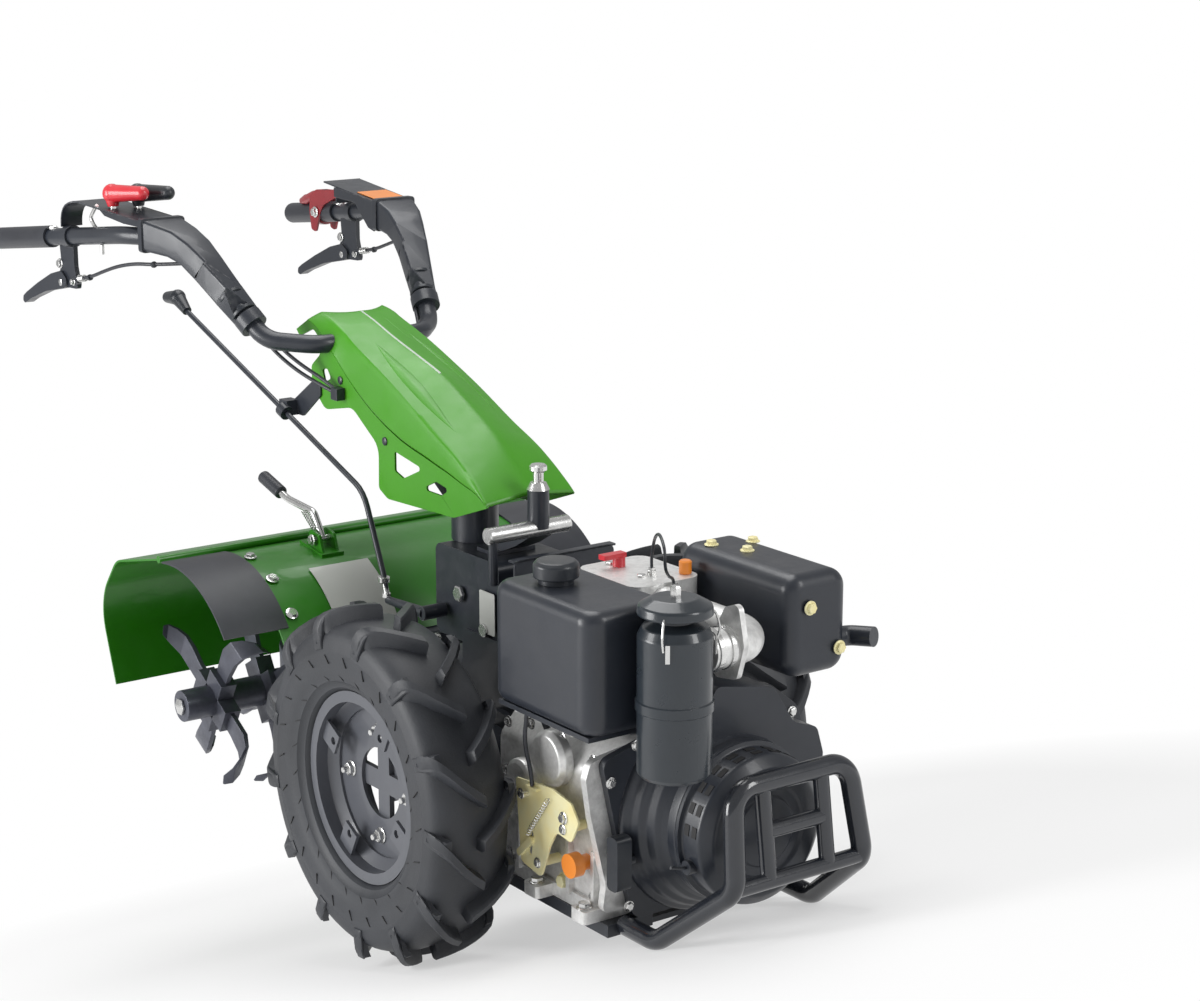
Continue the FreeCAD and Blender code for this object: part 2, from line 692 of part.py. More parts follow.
def bonnet():
    half = size("bonnet_half_width")
    wall = size("bonnet_wall")
    top = [(-29, 632), (-110, 690), (-260, 775), (-400, 830), (-494, 850)]
    lower = [(-511, 797), (-536, 736), (-484, 696), (-397, 715), (-334, 666), (-334, 579),
             (-131, 595)]
    outer = padded("bonnet_outer", "XZ_Plane", top + lower,
                   [6, 60, 200, 100, 14, 10, 18, 18, 30, 40, 15, 10], 2 * half, -half)
    hollow = [(x, z - wall) for x, z in top]
    hollow[0] = (-29 - wall, 632 - wall)
    inner = padded("bonnet_inner", "XZ_Plane",
                   hollow + [(-600, 800), (-600, 500), (-29 - wall, 500)],
                   [0, 60, 200, 100, 0, 0, 0, 0], 2 * (half - wall), -half + wall)
    bore = cylinder("bonnet_bore", (-470, -half - 1, 806), (-470, half + 1, 806),
                    "handle_radius + 2")
    piece(cut("bonnet", outer, fused("bonnet_hollow", [inner, bore])), "bonnet")


def handle_column():
    post = cylinder("column_post", (-172, 0, 545.3), (-172, 0, 640), 36)
    arm = ruled([[(-140, -26, 610), (-140, 26, 610), (-190, 26, 585), (-190, -26, 585)],
                 [(-425, -24, 786), (-425, 24, 786), (-445, 24, 745), (-445, -24, 745)]])
    beam = doc.addObject("Part::Feature", "column_beam")
    beam.Shape = arm
    saddle = box("column_saddle", (-485, -45, 744),
                 (60, 90, 806 - 744 - size("handle_radius") - size("seat_gap")))
    pins = [cylinder("column_pin%d" % i, (x, -size("bonnet_half_width") + 4.3, z),
                     (x, size("bonnet_half_width") - 4.3, z), 8)
            for i, (x, z) in enumerate(((-300, 682), (-440, 768)))]
    piece(fused("handle_column", [post, beam, saddle] + pins), "handle_column")


def shift_rod():
    rod = tube("shift_rod_bar", [(-915, -100, 808), (-331, -100, 600), (-277, -100, 481),
                                 (-265, -100, 440)], [0, 60, 40, 0], 4.5)
    knob = cone("shift_knob", (-905, -100, 804), (-975, -100, 832), 12, 17)
    arm = cylinder("shift_arm", (-265, -100, 442), (-165, -100, 430), 7)
    pivot = cylinder("shift_pivot", (-165, -60.3, 430), (-165, -106, 430), 10)
    piece(fused("shift_rod", [rod, knob, arm, pivot]), "shift_rod")


# ---------------------------------------------------------------- tiller

def arc_points(radius, centre, first, last, count):
    steps = [first + (last - first) * i / (count - 1) for i in range(count)]
    return [(centre[0] + radius * math.cos(math.radians(a)),
             centre[1] + radius * math.sin(math.radians(a))) for a in steps]


def tiller():
    axis = (-size("rotor_behind"), size("rotor_height"))
    case = padded("tiller_case", "XZ_Plane",
                  [(-300.3, 260), (-300.3, 365), (-330, 385), (-400, 420), (-470, 430),
                   (-530, 330), (-545, 258), (-520, 205), (-460, 205), (-400, 240)],
                  [0, 0, 20, 30, 30, 60, 40, 40, 40, 30], 84, -42)
    stand = box("tiller_case_stand", (axis[0] - 10, -30, 380), (20, 60, 101.4))
    case = fused("tiller_case_whole", [case, stand])
    mouth = cylinder("tiller_case_bore", (axis[0], -50, axis[1]), (axis[0], 50, axis[1]),
                     "rotor_shaft_radius + seat_gap")
    piece(cut("tiller_gearbox", case, mouth), "tiller_gearbox")

    inner = size("hood_radius")
    outer = inner + size("sheet_steel")
    centre = (axis[0], axis[1] + 22)
    arch = doc.addObject("Part::Feature", "hood_arch")
    ring = arc_sheet(centre, inner, outer, 14, 108)
    arch.Shape = ring.extrude(Vector(0, 2 * size("hood_half_width"), 0))
    arch.Placement = at(0, -size("hood_half_width"), 0)
    notch = box("hood_notch", (-330, -63, 300), (80, 126, 72))
    piece(cut("tiller_hood", arch, notch), "tiller_hood")

    rod_x = centre[0] + (outer + 6.3) * math.cos(math.radians(106))
    rod_z = centre[1] + (outer + 6.3) * math.sin(math.radians(106))
    span = size("shield_half_width")
    rod = cylinder("shield_rod", (rod_x, -span, rod_z), (rod_x, span, rod_z), 6)
    wall = size("sheet_steel")
    sheet_ = padded("shield_sheet", "XZ_Plane",
                    [(rod_x, rod_z + wall / 2), (-702, 446 + wall), (-771, 366), (-724, 233),
                     (-721, 234), (-768, 366), (-700, 446), (rod_x, rod_z - wall / 2)],
                    [0, 50, 90, 0, 0, 87, 47, 0], "2 * shield_half_width", -span)
    piece(fused("rear_shield", [rod, sheet_]), "rear_shield")

    for name, side in SIDES:
        flap = doc.addObject("Part::Feature", "side_flap_" + name)
        band = arc_sheet(centre, outer + 0.3, outer + 3.3, 38, 100)
        flap.Shape = band.extrude(Vector(0, side * 110, 0))
        flap.Placement = at(0, side * 240, 0)
        piece(flap, "side_flap_" + name)


def arc_sheet(centre, inner, outer, first, last):
    """Flat ring sector in the machine's XZ plane."""
    def spot(radius, angle):
        a = math.radians(angle)
        return Vector(centre[0] + radius * math.cos(a), 0, centre[1] + radius * math.sin(a))
    middle = (first + last) / 2
    edges = [Part.Arc(spot(outer, first), spot(outer, middle), spot(outer, last)).toShape(),
             Part.makeLine(spot(outer, last), spot(inner, last)),
             Part.Arc(spot(inner, last), spot(inner, middle), spot(inner, first)).toShape(),
             Part.makeLine(spot(inner, first), spot(outer, first))]
    return Part.Face(Part.Wire(edges))


def blade(reach, lean, hook):
    """One forged blade: flat stem out of its socket, then a swept hooked end."""
    return ruled([
        [(20, -5, -14), (20, 5, -14), (20, 5, 14), (20, -5, 14)],
        [(reach * 0.45, -4, -17), (reach * 0.45, 4, -17),
         (reach * 0.45, 4, 17), (reach * 0.45, -4, 17)],
        [(reach * 0.80, -4 - hook * 0.35, -20), (reach * 0.80, 3 - hook * 0.35, -20),
         (reach * 0.80, 3, 14 + lean), (reach * 0.80, -4, 14 + lean)],
        [(reach * 0.93, -4 - hook, -16 + lean), (reach * 0.93, 1 - hook, -16 + lean),
         (reach * 0.93, 1 - hook * 0.6, 22 + lean), (reach * 0.93, -4 - hook * 0.6, 22 + lean)],
    ])


def rotor_half(name, side):
    end = size("rotor_half_width")
    start = 52.0
    pipe = cylinder("rotor_pipe_" + name, (0, 0, start), (0, 0, end), "rotor_tube_radius")
    collar = cylinder("rotor_collar_" + name, (0, 0, start), (0, 0, start + 10), 42)
    knives = []
    for rank in range(3):
        height = 105 + rank * 88
        for i in range(4):
            angle = 90 * i + 30 * rank
            turn = Placement(Vector(0, 0, height), Rotation(Vector(0, 0, 1), angle))
            lean = 18 if i % 2 else -18
            shape = blade(size("rotor_reach"), lean, 30.0 * side)
            shape.Placement = turn
            knives.append(shape)
    shaft = cylinder("rotor_shaft_" + name, (0, 0, 0), (0, 0, start + 5),
                     "rotor_shaft_radius")
    group = doc.addObject("Part::Feature", "rotor_knives_" + name)
    group.Shape = Part.makeCompound(knives)
    whole = fused("tine_rotor_" + name, [pipe, collar, shaft, group])
    turn = Rotation(Vector(1, 0, 0), Vector(0, 0, -side), Vector(0, side, 0), "XZY")
    whole.Placement = Placement(Vector(-size("rotor_behind"), side * 0.2,
                                       size("rotor_height")), turn)
    piece(whole, "tine_rotor_" + name)


# ---------------------------------------------------------------- parking

def lowest_along(angle):
    """How far the guard's low bend reaches below the axle line, minus the tyre's reach."""
    down = Vector(math.sin(angle), 0, -math.cos(angle))
    low = Vector(*GUARD_LOW)
    back = Vector(-1, 0, 0)
    ahead = (Vector(*GUARD_MID) - low).normalize()
    half = back.getAngle(ahead) / 2
    bend = size("guard_bend")
    centre = low + (back + ahead).normalize() * (bend / math.sin(half))
    normal = back.cross(ahead).normalize()
    flat = down - normal * down.dot(normal)
    guard = centre.dot(down) + bend * flat.Length + size("guard_radius")
    axle = Vector(0, 0, size("tyre_radius"))
    return guard - (axle.dot(down) + size("tyre_radius"))


def find_park_angle():
    low, high = 0.0, math.radians(40)
    for step in range(60):
        middle = (low + high) / 2
        if lowest_along(middle) > 0:
            high = middle
        else:
            low = middle
    return math.degrees(low)


park_angle = find_park_angle()


def park_all():
    axle = Vector(0, 0, size("tyre_radius"))
    tilt = Placement(axle, Rotation(Vector(0, 1, 0), park_angle)).multiply(
        Placement(axle * -1, Rotation()))
    for obj in PIECES:
        obj.Placement = tilt.multiply(obj.Placement)
    boxes = [obj.Shape.optimalBoundingBox(True, False) for obj in PIECES]
    middle = (min(b.XMin for b in boxes) + max(b.XMax for b in boxes)) / 2
    for obj in PIECES:
        obj.Placement = at(-middle, 0, 0).multiply(obj.Placement)
        obj.purgeTouched()
    return middle


def build():
    for name, side in SIDES:
        tyre(side, "tyre_" + name)
        rim(side, "rim_" + name)
        hub(side, "hub_" + name)
        axle_housing(side, "axle_housing_" + name)
    gearbox()
    clutch_housing()
    tiller_neck()
    engine()
    fan_shroud()
    recoil_starter()
    air_cleaner()
    tank_and_muffler()
    small_engine_fittings()
    front_guard()
    engine_frame()
    handlebar()
    for name, side in SIDES:
        arm_cover(name, side)
        brake_lever(name, side)
        rotor_half(name, side)
    bonnet()
    handle_column()
    shift_rod()
    tiller()
    doc.recompute()


def check():
    for obj in doc.Objects:
        if "Invalid" in obj.State or "Error" in obj.State:
            raise RuntimeError("%s failed: %s" % (obj.Name, obj.State))
    for obj in PIECES:
        if obj.Shape.isNull() or not obj.Shape.isValid():
            raise RuntimeError("%s has no valid shape" % obj.Label)


build()
check()
shift = park_all()
check()
print("park angle %.3f deg, shift %.2f mm" % (park_angle, shift))
os.makedirs("parts", exist_ok=True)
for obj in PIECES:
    obj.Shape.exportStep("parts/%s.step" % obj.Label)
    box_ = obj.Shape.BoundBox
    print("%-22s solids %d  vol %8.1f cm3  x %6.0f..%6.0f y %6.0f..%6.0f z %6.0f..%6.0f" % (
        obj.Label, len(obj.Shape.Solids), obj.Shape.Volume / 1000,
        box_.XMin, box_.XMax, box_.YMin, box_.YMax, box_.ZMin, box_.ZMax))
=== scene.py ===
"""Finishes and small fittings of a walk-behind power weeder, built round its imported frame.

Lengths are millimetres in the machine's level frame (X to the engine, Y to the machine's
left, Z up, origin on the ground under the axle) until park() turns them nose-down and
into metres, as the machine stands on its guard.
"""
import json
import math

import bmesh
import bpy
import numpy as np
from mathutils import Matrix, Vector
from mathutils.geometry import tessellate_polygon


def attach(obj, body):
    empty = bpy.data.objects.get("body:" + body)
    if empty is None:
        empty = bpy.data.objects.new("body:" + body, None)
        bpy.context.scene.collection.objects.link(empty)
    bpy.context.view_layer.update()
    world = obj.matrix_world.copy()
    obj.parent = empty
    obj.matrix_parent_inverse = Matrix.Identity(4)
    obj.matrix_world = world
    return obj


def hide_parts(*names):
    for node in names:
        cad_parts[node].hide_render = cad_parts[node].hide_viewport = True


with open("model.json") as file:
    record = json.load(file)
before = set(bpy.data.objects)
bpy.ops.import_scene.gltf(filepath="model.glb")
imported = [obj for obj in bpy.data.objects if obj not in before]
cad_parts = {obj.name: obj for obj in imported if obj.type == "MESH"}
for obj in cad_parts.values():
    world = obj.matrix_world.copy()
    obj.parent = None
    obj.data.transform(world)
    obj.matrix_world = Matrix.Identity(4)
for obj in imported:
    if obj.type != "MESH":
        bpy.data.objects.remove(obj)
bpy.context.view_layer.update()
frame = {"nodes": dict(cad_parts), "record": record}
nodes = frame["nodes"]
joint_at = {joint["name"]: joint["pos_m"] for joint in frame["record"]["behaviour"]["joints"]}

# ---------------------------------------------------------------- where the machine stands

MM = 0.001
TYRE_RADIUS = 262.0
ROTOR_BEHIND = 490.0
ROTOR_DROP = 4.0

axle_at = np.array(joint_at["wheel_left_spin"])
rotor_at = np.array(joint_at["tine_rotor_spin"])
rise = math.atan2(rotor_at[2] - axle_at[2], axle_at[0] - rotor_at[0])
PARK_ANGLE = rise + math.atan2(ROTOR_DROP, ROTOR_BEHIND)


def park(points):
    """Level millimetres to parked metres: turned about the axle, then set on its place."""
    points = np.asarray(points, float).reshape(-1, 3)
    x, y, z = points[:, 0], points[:, 1], points[:, 2] - TYRE_RADIUS
    c, s = math.cos(PARK_ANGLE), math.sin(PARK_ANGLE)
    return np.stack([axle_at[0] + (x * c + z * s) * MM, y * MM,
                     axle_at[2] + (z * c - x * s) * MM], axis=1)


def park_direction(direction):
    """A level direction, turned with the machine."""
    return Matrix.Rotation(PARK_ANGLE, 3, "Y") @ Vector(direction)


# ---------------------------------------------------------------- shader building

def plug(tree, socket, value):
    """Links a socket into an input, or gives the input its own value."""
    if isinstance(value, bpy.types.NodeSocket):
        tree.links.new(value, socket)
    else:
        socket.default_value = value


class Shader:
    """A node tree being wired: add() makes a node whose inputs are values or sockets."""

    def __init__(self, tree):
        self.tree = tree

    def add(self, kind, inputs=None, **settings):
        node = self.tree.nodes.new("ShaderNode" + kind)
        for name, value in settings.items():
            setattr(node, name, value)
        for name, value in (inputs or {}).items():
            plug(self.tree, node.inputs[name], value)
        return node

    def coordinates(self, scale=(1, 1, 1)):
        where = self.add("TexCoord").outputs["Object"]
        return self.add("Mapping", {"Vector": where, "Scale": scale}).outputs["Vector"]

    def noise(self, scale, detail, roughness=0.55, stretch=(1, 1, 1)):
        return self.add("TexNoise", {"Vector": self.coordinates(stretch), "Scale": scale,
                                     "Detail": detail, "Roughness": roughness}).outputs["Fac"]

    def spread(self, value, low, high, to_low=0.0, to_high=1.0):
        """Carries value from low..high to to_low..to_high, clamped."""
        return self.add("MapRange", {"Value": value, "From Min": low, "From Max": high,
                                     "To Min": to_low, "To Max": to_high}).outputs["Result"]

    def maths(self, operation, a, b):
        return self.add("Math", {0: a, 1: b}, operation=operation).outputs[0]

    def times(self, a, b):
        return self.maths("MULTIPLY", a, b)

    def mix(self, factor, a, b):
        return self.add("Mix", {0: factor, 6: a, 7: b}, data_type="RGBA").outputs[2]

    def group(self, tree, inputs):
        return self.add("Group", inputs, node_tree=tree).outputs


def effect(name, inputs, outputs):
    """New shader node group; inputs are (name, default), outputs are names."""
    tree = bpy.data.node_groups.new(name, "ShaderNodeTree")
    for label, default in inputs:
        socket = tree.interface.new_socket(name=label, in_out="INPUT",
                                           socket_type="NodeSocketFloat")
        socket.default_value = default
    for label in outputs:
        tree.interface.new_socket(name=label, in_out="OUTPUT", socket_type="NodeSocketFloat")
    shader = Shader(tree)
    given = tree.nodes.new("NodeGroupInput").outputs
    result = tree.nodes.new("NodeGroupOutput").inputs
    return tree, shader, given, result


def make_edge_rub():
    """Mask of sharp edges: where a rounded normal departs from the true one, broken up."""
    tree, shader, given, result = effect(
        "edge rub", [("Radius", 0.0015), ("Breakup", 90.0)], ["Mask"])
    soft = shader.add("Bevel", {"Radius": given["Radius"]}, samples=4).outputs["Normal"]
    true = shader.add("NewGeometry").outputs["True Normal"]
    along = shader.add("VectorMath", {0: soft, 1: true}, operation="DOT_PRODUCT")
    depart = shader.maths("SUBTRACT", 1.0, along.outputs["Value"])
    patch = shader.noise(given["Breakup"], 3.0)
    ragged = shader.times(shader.spread(depart, 0.03, 0.22),
                          shader.spread(patch, 0.42, 0.62))
    tree.links.new(ragged, result["Mask"])
    return tree


def make_dust():
    """Mask of settled dust: upward faces more than others, in soft uneven patches."""
    tree, shader, given, result = effect("dust", [("Amount", 0.2), ("Scale", 9.0)], ["Mask"])
    normal = shader.add("NewGeometry").outputs["Normal"]
    up = shader.add("SeparateXYZ", {"Vector": normal}).outputs["Z"]
    lying = shader.spread(up, -0.1, 1.0, 0.25, 1.0)
    patch = shader.spread(shader.noise(given["Scale"], 6.0, 0.62), 0.38, 0.72)
    mask = shader.times(shader.times(lying, patch), given["Amount"])
    tree.links.new(mask, result["Mask"])
    return tree


def make_peel():
    """Height of sprayed paint: a fine ripple over a slower one."""
    tree, shader, given, result = effect("paint ripple", [("Scale", 260.0)], ["Height"])
    fine = shader.noise(given["Scale"], 2.0, 0.4)
    slow = shader.noise(shader.times(given["Scale"], 0.22), 2.0, 0.5)
    tree.links.new(shader.maths("ADD", fine, shader.times(slow, 0.8)),
                   result["Height"])
    return tree


def make_cast_grain():
    """Sand-cast skin: pits from a cell pattern over a coarse noise, and its tone."""
    tree, shader, given, result = effect("cast grain", [("Scale", 420.0)],
                                         ["Height", "Tone"])
    pits = shader.add("TexVoronoi", {"Vector": shader.coordinates(),
                                     "Scale": given["Scale"]}).outputs["Distance"]
    lumps = shader.noise(shader.times(given["Scale"], 0.16), 5.0, 0.6)
    tree.links.new(shader.maths("ADD", shader.times(pits, 0.5), lumps),
                   result["Height"])
    tree.links.new(shader.spread(lumps, 0.32, 0.7), result["Tone"])
    return tree


EDGE_RUB = make_edge_rub()
DUST = make_dust()
PEEL = make_peel()
CAST_GRAIN = make_cast_grain()


def surface(name):
    """Empty material with its Principled shader wired to the output."""
    material = bpy.data.materials.new(name)
    material.use_nodes = True
    material.node_tree.nodes.clear()
    shader = Shader(material.node_tree)
    body = shader.add("BsdfPrincipled")
    out = shader.add("OutputMaterial")
    material.node_tree.links.new(body.outputs["BSDF"], out.inputs["Surface"])
    return material, shader, body


def feed(shader, body, **inputs):
    """Feeds the Principled shader: Base_Color=socket or value."""
    for name, value in inputs.items():
        plug(shader.tree, body.inputs[name.replace("_", " ")], value)


def tint(colour, factor=1.0):
    """The colour made lighter or darker, with its alpha."""
    return tuple(min(1.0, channel * factor) for channel in colour) + (1.0,)


def edge_mask(shader, radius, breakup, share):
    """How far sharp edges show through, up to the share."""
    edge = shader.group(EDGE_RUB, {"Radius": radius, "Breakup": breakup})["Mask"]
    return shader.times(edge, share)


def dust_mask(shader, amount, scale):
    return shader.group(DUST, {"Amount": amount, "Scale": scale})["Mask"]


def bumped(shader, height, strength, distance):
    """Normal of a surface that carries the height."""
    return shader.add("Bump", {"Height": height, "Strength": strength,
                               "Distance": distance}).outputs["Normal"]


BARE_STEEL = tint((0.25, 0.25, 0.26))
PAINT_DUST = tint((0.36, 0.33, 0.28))
METAL_DUST = tint((0.30, 0.27, 0.23))
RUBBER_DUST = tint((0.16, 0.155, 0.15))
PLASTIC_DUST = tint((0.34, 0.32, 0.29))


def paint(name, colour, roughness, coat, ripple=260.0, height=0.00004, dust=0.12, rub=0.5):
    """Sprayed paint under a clear coat, rubbed at its edges and lightly dusty."""
    material, shader, body = surface(name)
    dirt = dust_mask(shader, dust, 11.0)
    depth = shader.spread(shader.noise(5.0, 3.0), 0.3, 0.7)
    tone = shader.mix(depth, tint(colour, 0.92), tint(colour, 1.07))
    worn = shader.mix(edge_mask(shader, 0.0012, 110.0, rub), tone, BARE_STEEL)
    smear = shader.spread(shader.noise(34.0, 5.0, 0.6), 0.3, 0.75, roughness * 0.85,
                          roughness * 1.25)
    peel = shader.group(PEEL, {"Scale": ripple})["Height"]
    feed(shader, body, Base_Color=shader.mix(dirt, worn, PAINT_DUST), Roughness=smear,
         Coat_Roughness=0.06, Coat_Weight=shader.spread(dirt, 0.0, 0.4, coat, coat * 0.4),
         Normal=bumped(shader, peel, 0.35, height))
    return material


def cast_metal(name, colour, roughness, metallic, height=0.00035, scale=420.0):
    """As-cast metal: grainy skin, darker in its hollows, brighter on its edges."""
    material, shader, body = surface(name)
    grain = shader.group(CAST_GRAIN, {"Scale": scale})
    tone = shader.mix(grain["Tone"], tint(colour, 0.74), tint(colour, 1.10))
    bright = shader.mix(edge_mask(shader, 0.002, 60.0, 0.6), tone, tint(colour, 1.35))
    feed(shader, body, Base_Color=shader.mix(dust_mask(shader, 0.10, 16.0), bright, METAL_DUST),
         Metallic=metallic, Normal=bumped(shader, grain["Height"], 0.5, height),
         Roughness=shader.spread(grain["Tone"], 0.0, 1.0, roughness * 1.25,
                                 roughness * 0.85))
    return material


def plated(name, colour, roughness, second, metallic):
    """Plated steel with fine brushing, its colour drifting to a second one."""
    material, shader, body = surface(name)
    brushing = shader.noise(700.0, 2.0, 0.5, (1.0, 1.0, 0.12))
    drift = shader.spread(shader.noise(26.0, 3.0), 0.34, 0.66)
    tone = shader.mix(drift, tint(colour), second)
    shown = shader.mix(edge_mask(shader, 0.001, 120.0, 0.5), tone, tint(colour, 1.3))
    feed(shader, body, Base_Color=shown, Metallic=metallic,
         Roughness=shader.spread(brushing, 0.3, 0.7, roughness * 0.8, roughness * 1.3),
         Normal=bumped(shader, brushing, 0.25, 0.0001))
    return material


def rubber(name, colour, roughness, dust, height=0.0004, scale=320.0):
    """Moulded rubber: pebbled skin, bloom and dust in patches."""
    material, shader, body = surface(name)
    pebble = shader.add("TexVoronoi", {"Vector": shader.coordinates(), "Scale": scale})
    bloom = shader.spread(shader.noise(7.0, 5.0, 0.6), 0.3, 0.75)
    tone = shader.mix(bloom, tint(colour, 0.8), tint(colour, 1.45))
    scuffed = shader.mix(edge_mask(shader, 0.0025, 45.0, 0.45), tone, tint(colour, 2.4))
    feed(shader, body, Specular_IOR_Level=0.55,
         Base_Color=shader.mix(dust_mask(shader, dust, 14.0), scuffed, RUBBER_DUST),
         Roughness=shader.spread(bloom, 0.0, 1.0, roughness * 0.82, roughness * 1.1),
         Normal=bumped(shader, pebble.outputs["Distance"], 0.3, height))
    return material


def plastic(name, colour, roughness, coat=0.0):
    """Injection-moulded plastic with a fine etched grain and paler rubbed edges."""
    material, shader, body = surface(name)
    etched = shader.noise(900.0, 3.0, 0.6)
    depth = shader.spread(shader.noise(8.0, 3.0), 0.3, 0.7)
    tone = shader.mix(depth, tint(colour, 0.9), tint(colour, 1.1))
    rubbed = shader.mix(edge_mask(shader, 0.0012, 80.0, 0.3), tone, tint(colour, 1.8))
    feed(shader, body, Coat_Weight=coat, Normal=bumped(shader, etched, 0.3, 0.00012),
         Base_Color=shader.mix(dust_mask(shader, 0.14, 18.0), rubbed, PLASTIC_DUST),
         Roughness=shader.spread(etched, 0.3, 0.7, roughness * 0.9, roughness * 1.15))
    return material


ZINC = (0.76, 0.76, 0.75)
FINISHES = {
    "green_paint": paint("green enamel", (0.018, 0.175, 0.0015), 0.34, 0.2, dust=0.0, rub=0.2),
    "gloss_black_paint": paint("gloss black enamel", (0.014, 0.017, 0.024), 0.2, 0.55,
                               dust=0.05),
    "satin_black_paint": paint("satin black powder coat", (0.016, 0.02, 0.029), 0.38, 0.12,
                               ripple=420.0, height=0.00008, dust=0.05),
    "cast_aluminium": cast_metal("cast aluminium", (0.80, 0.80, 0.79), 0.38, 0.6),
    "yellow_zinc": plated("yellow zinc plate", (0.86, 0.76, 0.38), 0.4,
                          tint((0.84, 0.80, 0.50)), 0.15),
    "blade_steel": cast_metal("dark forged steel", (0.085, 0.09, 0.115), 0.36, 0.35, 0.0003,
                              300.0),
    "tyre_rubber": rubber("tyre rubber", (0.021, 0.0235, 0.029), 0.55, 0.12),
    "grip_rubber": rubber("grip rubber", (0.02, 0.022, 0.029), 0.45, 0.06, 0.0003, 600.0),
    "bright_zinc": plated("bright zinc plate", ZINC, 0.22, tint(ZINC, 0.82), 0.9),
    "black_plastic": plastic("black moulded plastic", (0.017, 0.021, 0.028), 0.34),
    "red_plastic": plastic("red moulded plastic", (0.62, 0.02, 0.035), 0.3, 0.3),
    "orange_plastic": plastic("orange moulded plastic", (0.85, 0.26, 0.03), 0.32, 0.3),
}
BONNET_GREEN = paint("bonnet green", (0.05, 0.275, 0.0025), 0.4, 0.05, dust=0.0, rub=0.05)
LEVER_RED = plastic("dark red lever", (0.27, 0.012, 0.02), 0.3, 0.3)
HOUSING_BLUE = paint("blue black housing", (0.017, 0.024, 0.032), 0.3, 0.3, dust=0.03)
RIM_BLACK = paint("rim black", (0.085, 0.09, 0.105), 0.42, 0.25, dust=0.05)
PLATE_GREY = paint("blank plate", (0.52, 0.53, 0.5), 0.4, 0.2, dust=0.02)
# Painted shade: near-black rubber that stands for the shade beside the tyre's side wall ribs and
# inside the starter drum's slots.
PAINTED_SHADE_RUBBER = rubber("painted shade rubber", (0.006, 0.006, 0.007), 0.7, 0.1)
# Painted highlight: pale green-grey paint laid along the bonnet's ridge, where the rounded ridge
# catches the light.
RIDGE_HIGHLIGHT_PAINT = paint("painted ridge highlight", (0.55, 0.62, 0.55), 0.3, 0.5, rub=0.1)
# Finishes that the record has no slot for, with the slot that their pieces name.
SIDES = (("left", 1), ("right", -1))


OWN_FINISH = {"rim_left": RIM_BLACK, "rim_right": RIM_BLACK, "hub_left": RIM_BLACK,
              "hub_right": RIM_BLACK, "air_cleaner": HOUSING_BLUE,
              "tank_cap": FINISHES["black_plastic"]}


def dress_frame():
    """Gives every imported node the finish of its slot."""
    slot_of = {part["node"]: part["material_slot"] for part in frame["record"]["subparts"]}
    for name, obj in nodes.items():
        obj.data.materials.clear()
        obj.data.materials.append(OWN_FINISH.get(name) or FINISHES[slot_of[name]])


dress_frame()


# ---------------------------------------------------------------- making surfaces

def grid_faces(rows, columns, closed_rows=False, closed_columns=False):
    """Quads of a rows x columns grid of points, joined round where a way is closed."""
    r = np.arange(rows if closed_rows else rows - 1)[:, None]
    c = np.arange(columns if closed_columns else columns - 1)[None, :]
    r_next, c_next = (r + 1) % rows, (c + 1) % columns
    quads = np.stack([r * columns + c, r * columns + c_next, r_next * columns + c_next,
                      r_next * columns + c], axis=-1)
    return quads.reshape(-1, 4).tolist()


def joined(shapes):
    """Several (points, faces) shapes as one."""
    points, faces, count = [], [], 0
    for some_points, some_faces in shapes:
        points.append(np.asarray(some_points, float).reshape(-1, 3))
        faces += [[index + count for index in face] for face in some_faces]
        count += len(points[-1])
    return np.concatenate(points), faces


def across_of(axis):
    """The axis at unit length, and two directions square to it and to each other."""
    axis = np.asarray(axis, float) / np.linalg.norm(axis)
    rough = np.array([0.0, 0.0, 1.0]) if abs(axis[2]) < 0.9 else np.array([1.0, 0.0, 0.0])
    first = np.cross(rough, axis)
    first /= np.linalg.norm(first)
    return axis, first, np.cross(axis, first)


def capped(rings, low, high):
    """Rings of points joined into a bar whose ends close on the points low and high."""
    rows, sides = rings.shape[:2]
    faces = grid_faces(rows, sides, closed_columns=True)
    pole, last = rows * sides, (rows - 1) * sides
    for i in range(sides):
        j = (i + 1) % sides
        faces.append([pole, j, i])
        faces.append([pole + 1, last + i, last + j])
    return np.concatenate([rings.reshape(-1, 3), [low], [high]]), faces


def turned(profile, start, axis, sides, turn=0.0):
    """Turned shape: ring k has radius and height profile[k]; a point on it is
    start + height axis + radius (cos t first + sin t second)."""
    axis, first, second = across_of(axis)
    profile, start = np.asarray(profile, float), np.asarray(start, float)
    t = np.linspace(0, 2 * np.pi, sides, endpoint=False) + turn
    circle = np.cos(t)[:, None] * first + np.sin(t)[:, None] * second
    rings = start + profile[:, 1, None, None] * axis + profile[:, 0, None, None] * circle
    return capped(rings, start + profile[0, 1] * axis, start + profile[-1, 1] * axis)


def rod(start, end, radius, sides=16, edge=0.6):
    """Round bar with its two end edges chamfered."""
    start, end = np.asarray(start, float), np.asarray(end, float)
    length = np.linalg.norm(end - start)
    return turned([(radius - edge, 0), (radius, edge), (radius, length - edge),
                   (radius - edge, length)], start, end - start, sides)


def smooth_line(route, steps):
    """Catmull-Rom curve through the route: on each run the blend of its four nearest
    points by the cubic weights of the run's share t."""
    route = np.asarray(route, float)
    padded = np.concatenate([[2 * route[0] - route[1]], route, [2 * route[-1] - route[-2]]])
    t = np.linspace(0, 1, steps, endpoint=False)[None, :, None]
    a, b, c, d = (padded[i:len(padded) - 3 + i][:, None, :] for i in range(4))
    line = 0.5 * ((2 * b) + (c - a) * t + (2 * a - 5 * b + 4 * c - d) * t ** 2
                  + (3 * b - a - 3 * c + d) * t ** 3)
    return np.concatenate([line.reshape(-1, 3), route[-1:]])


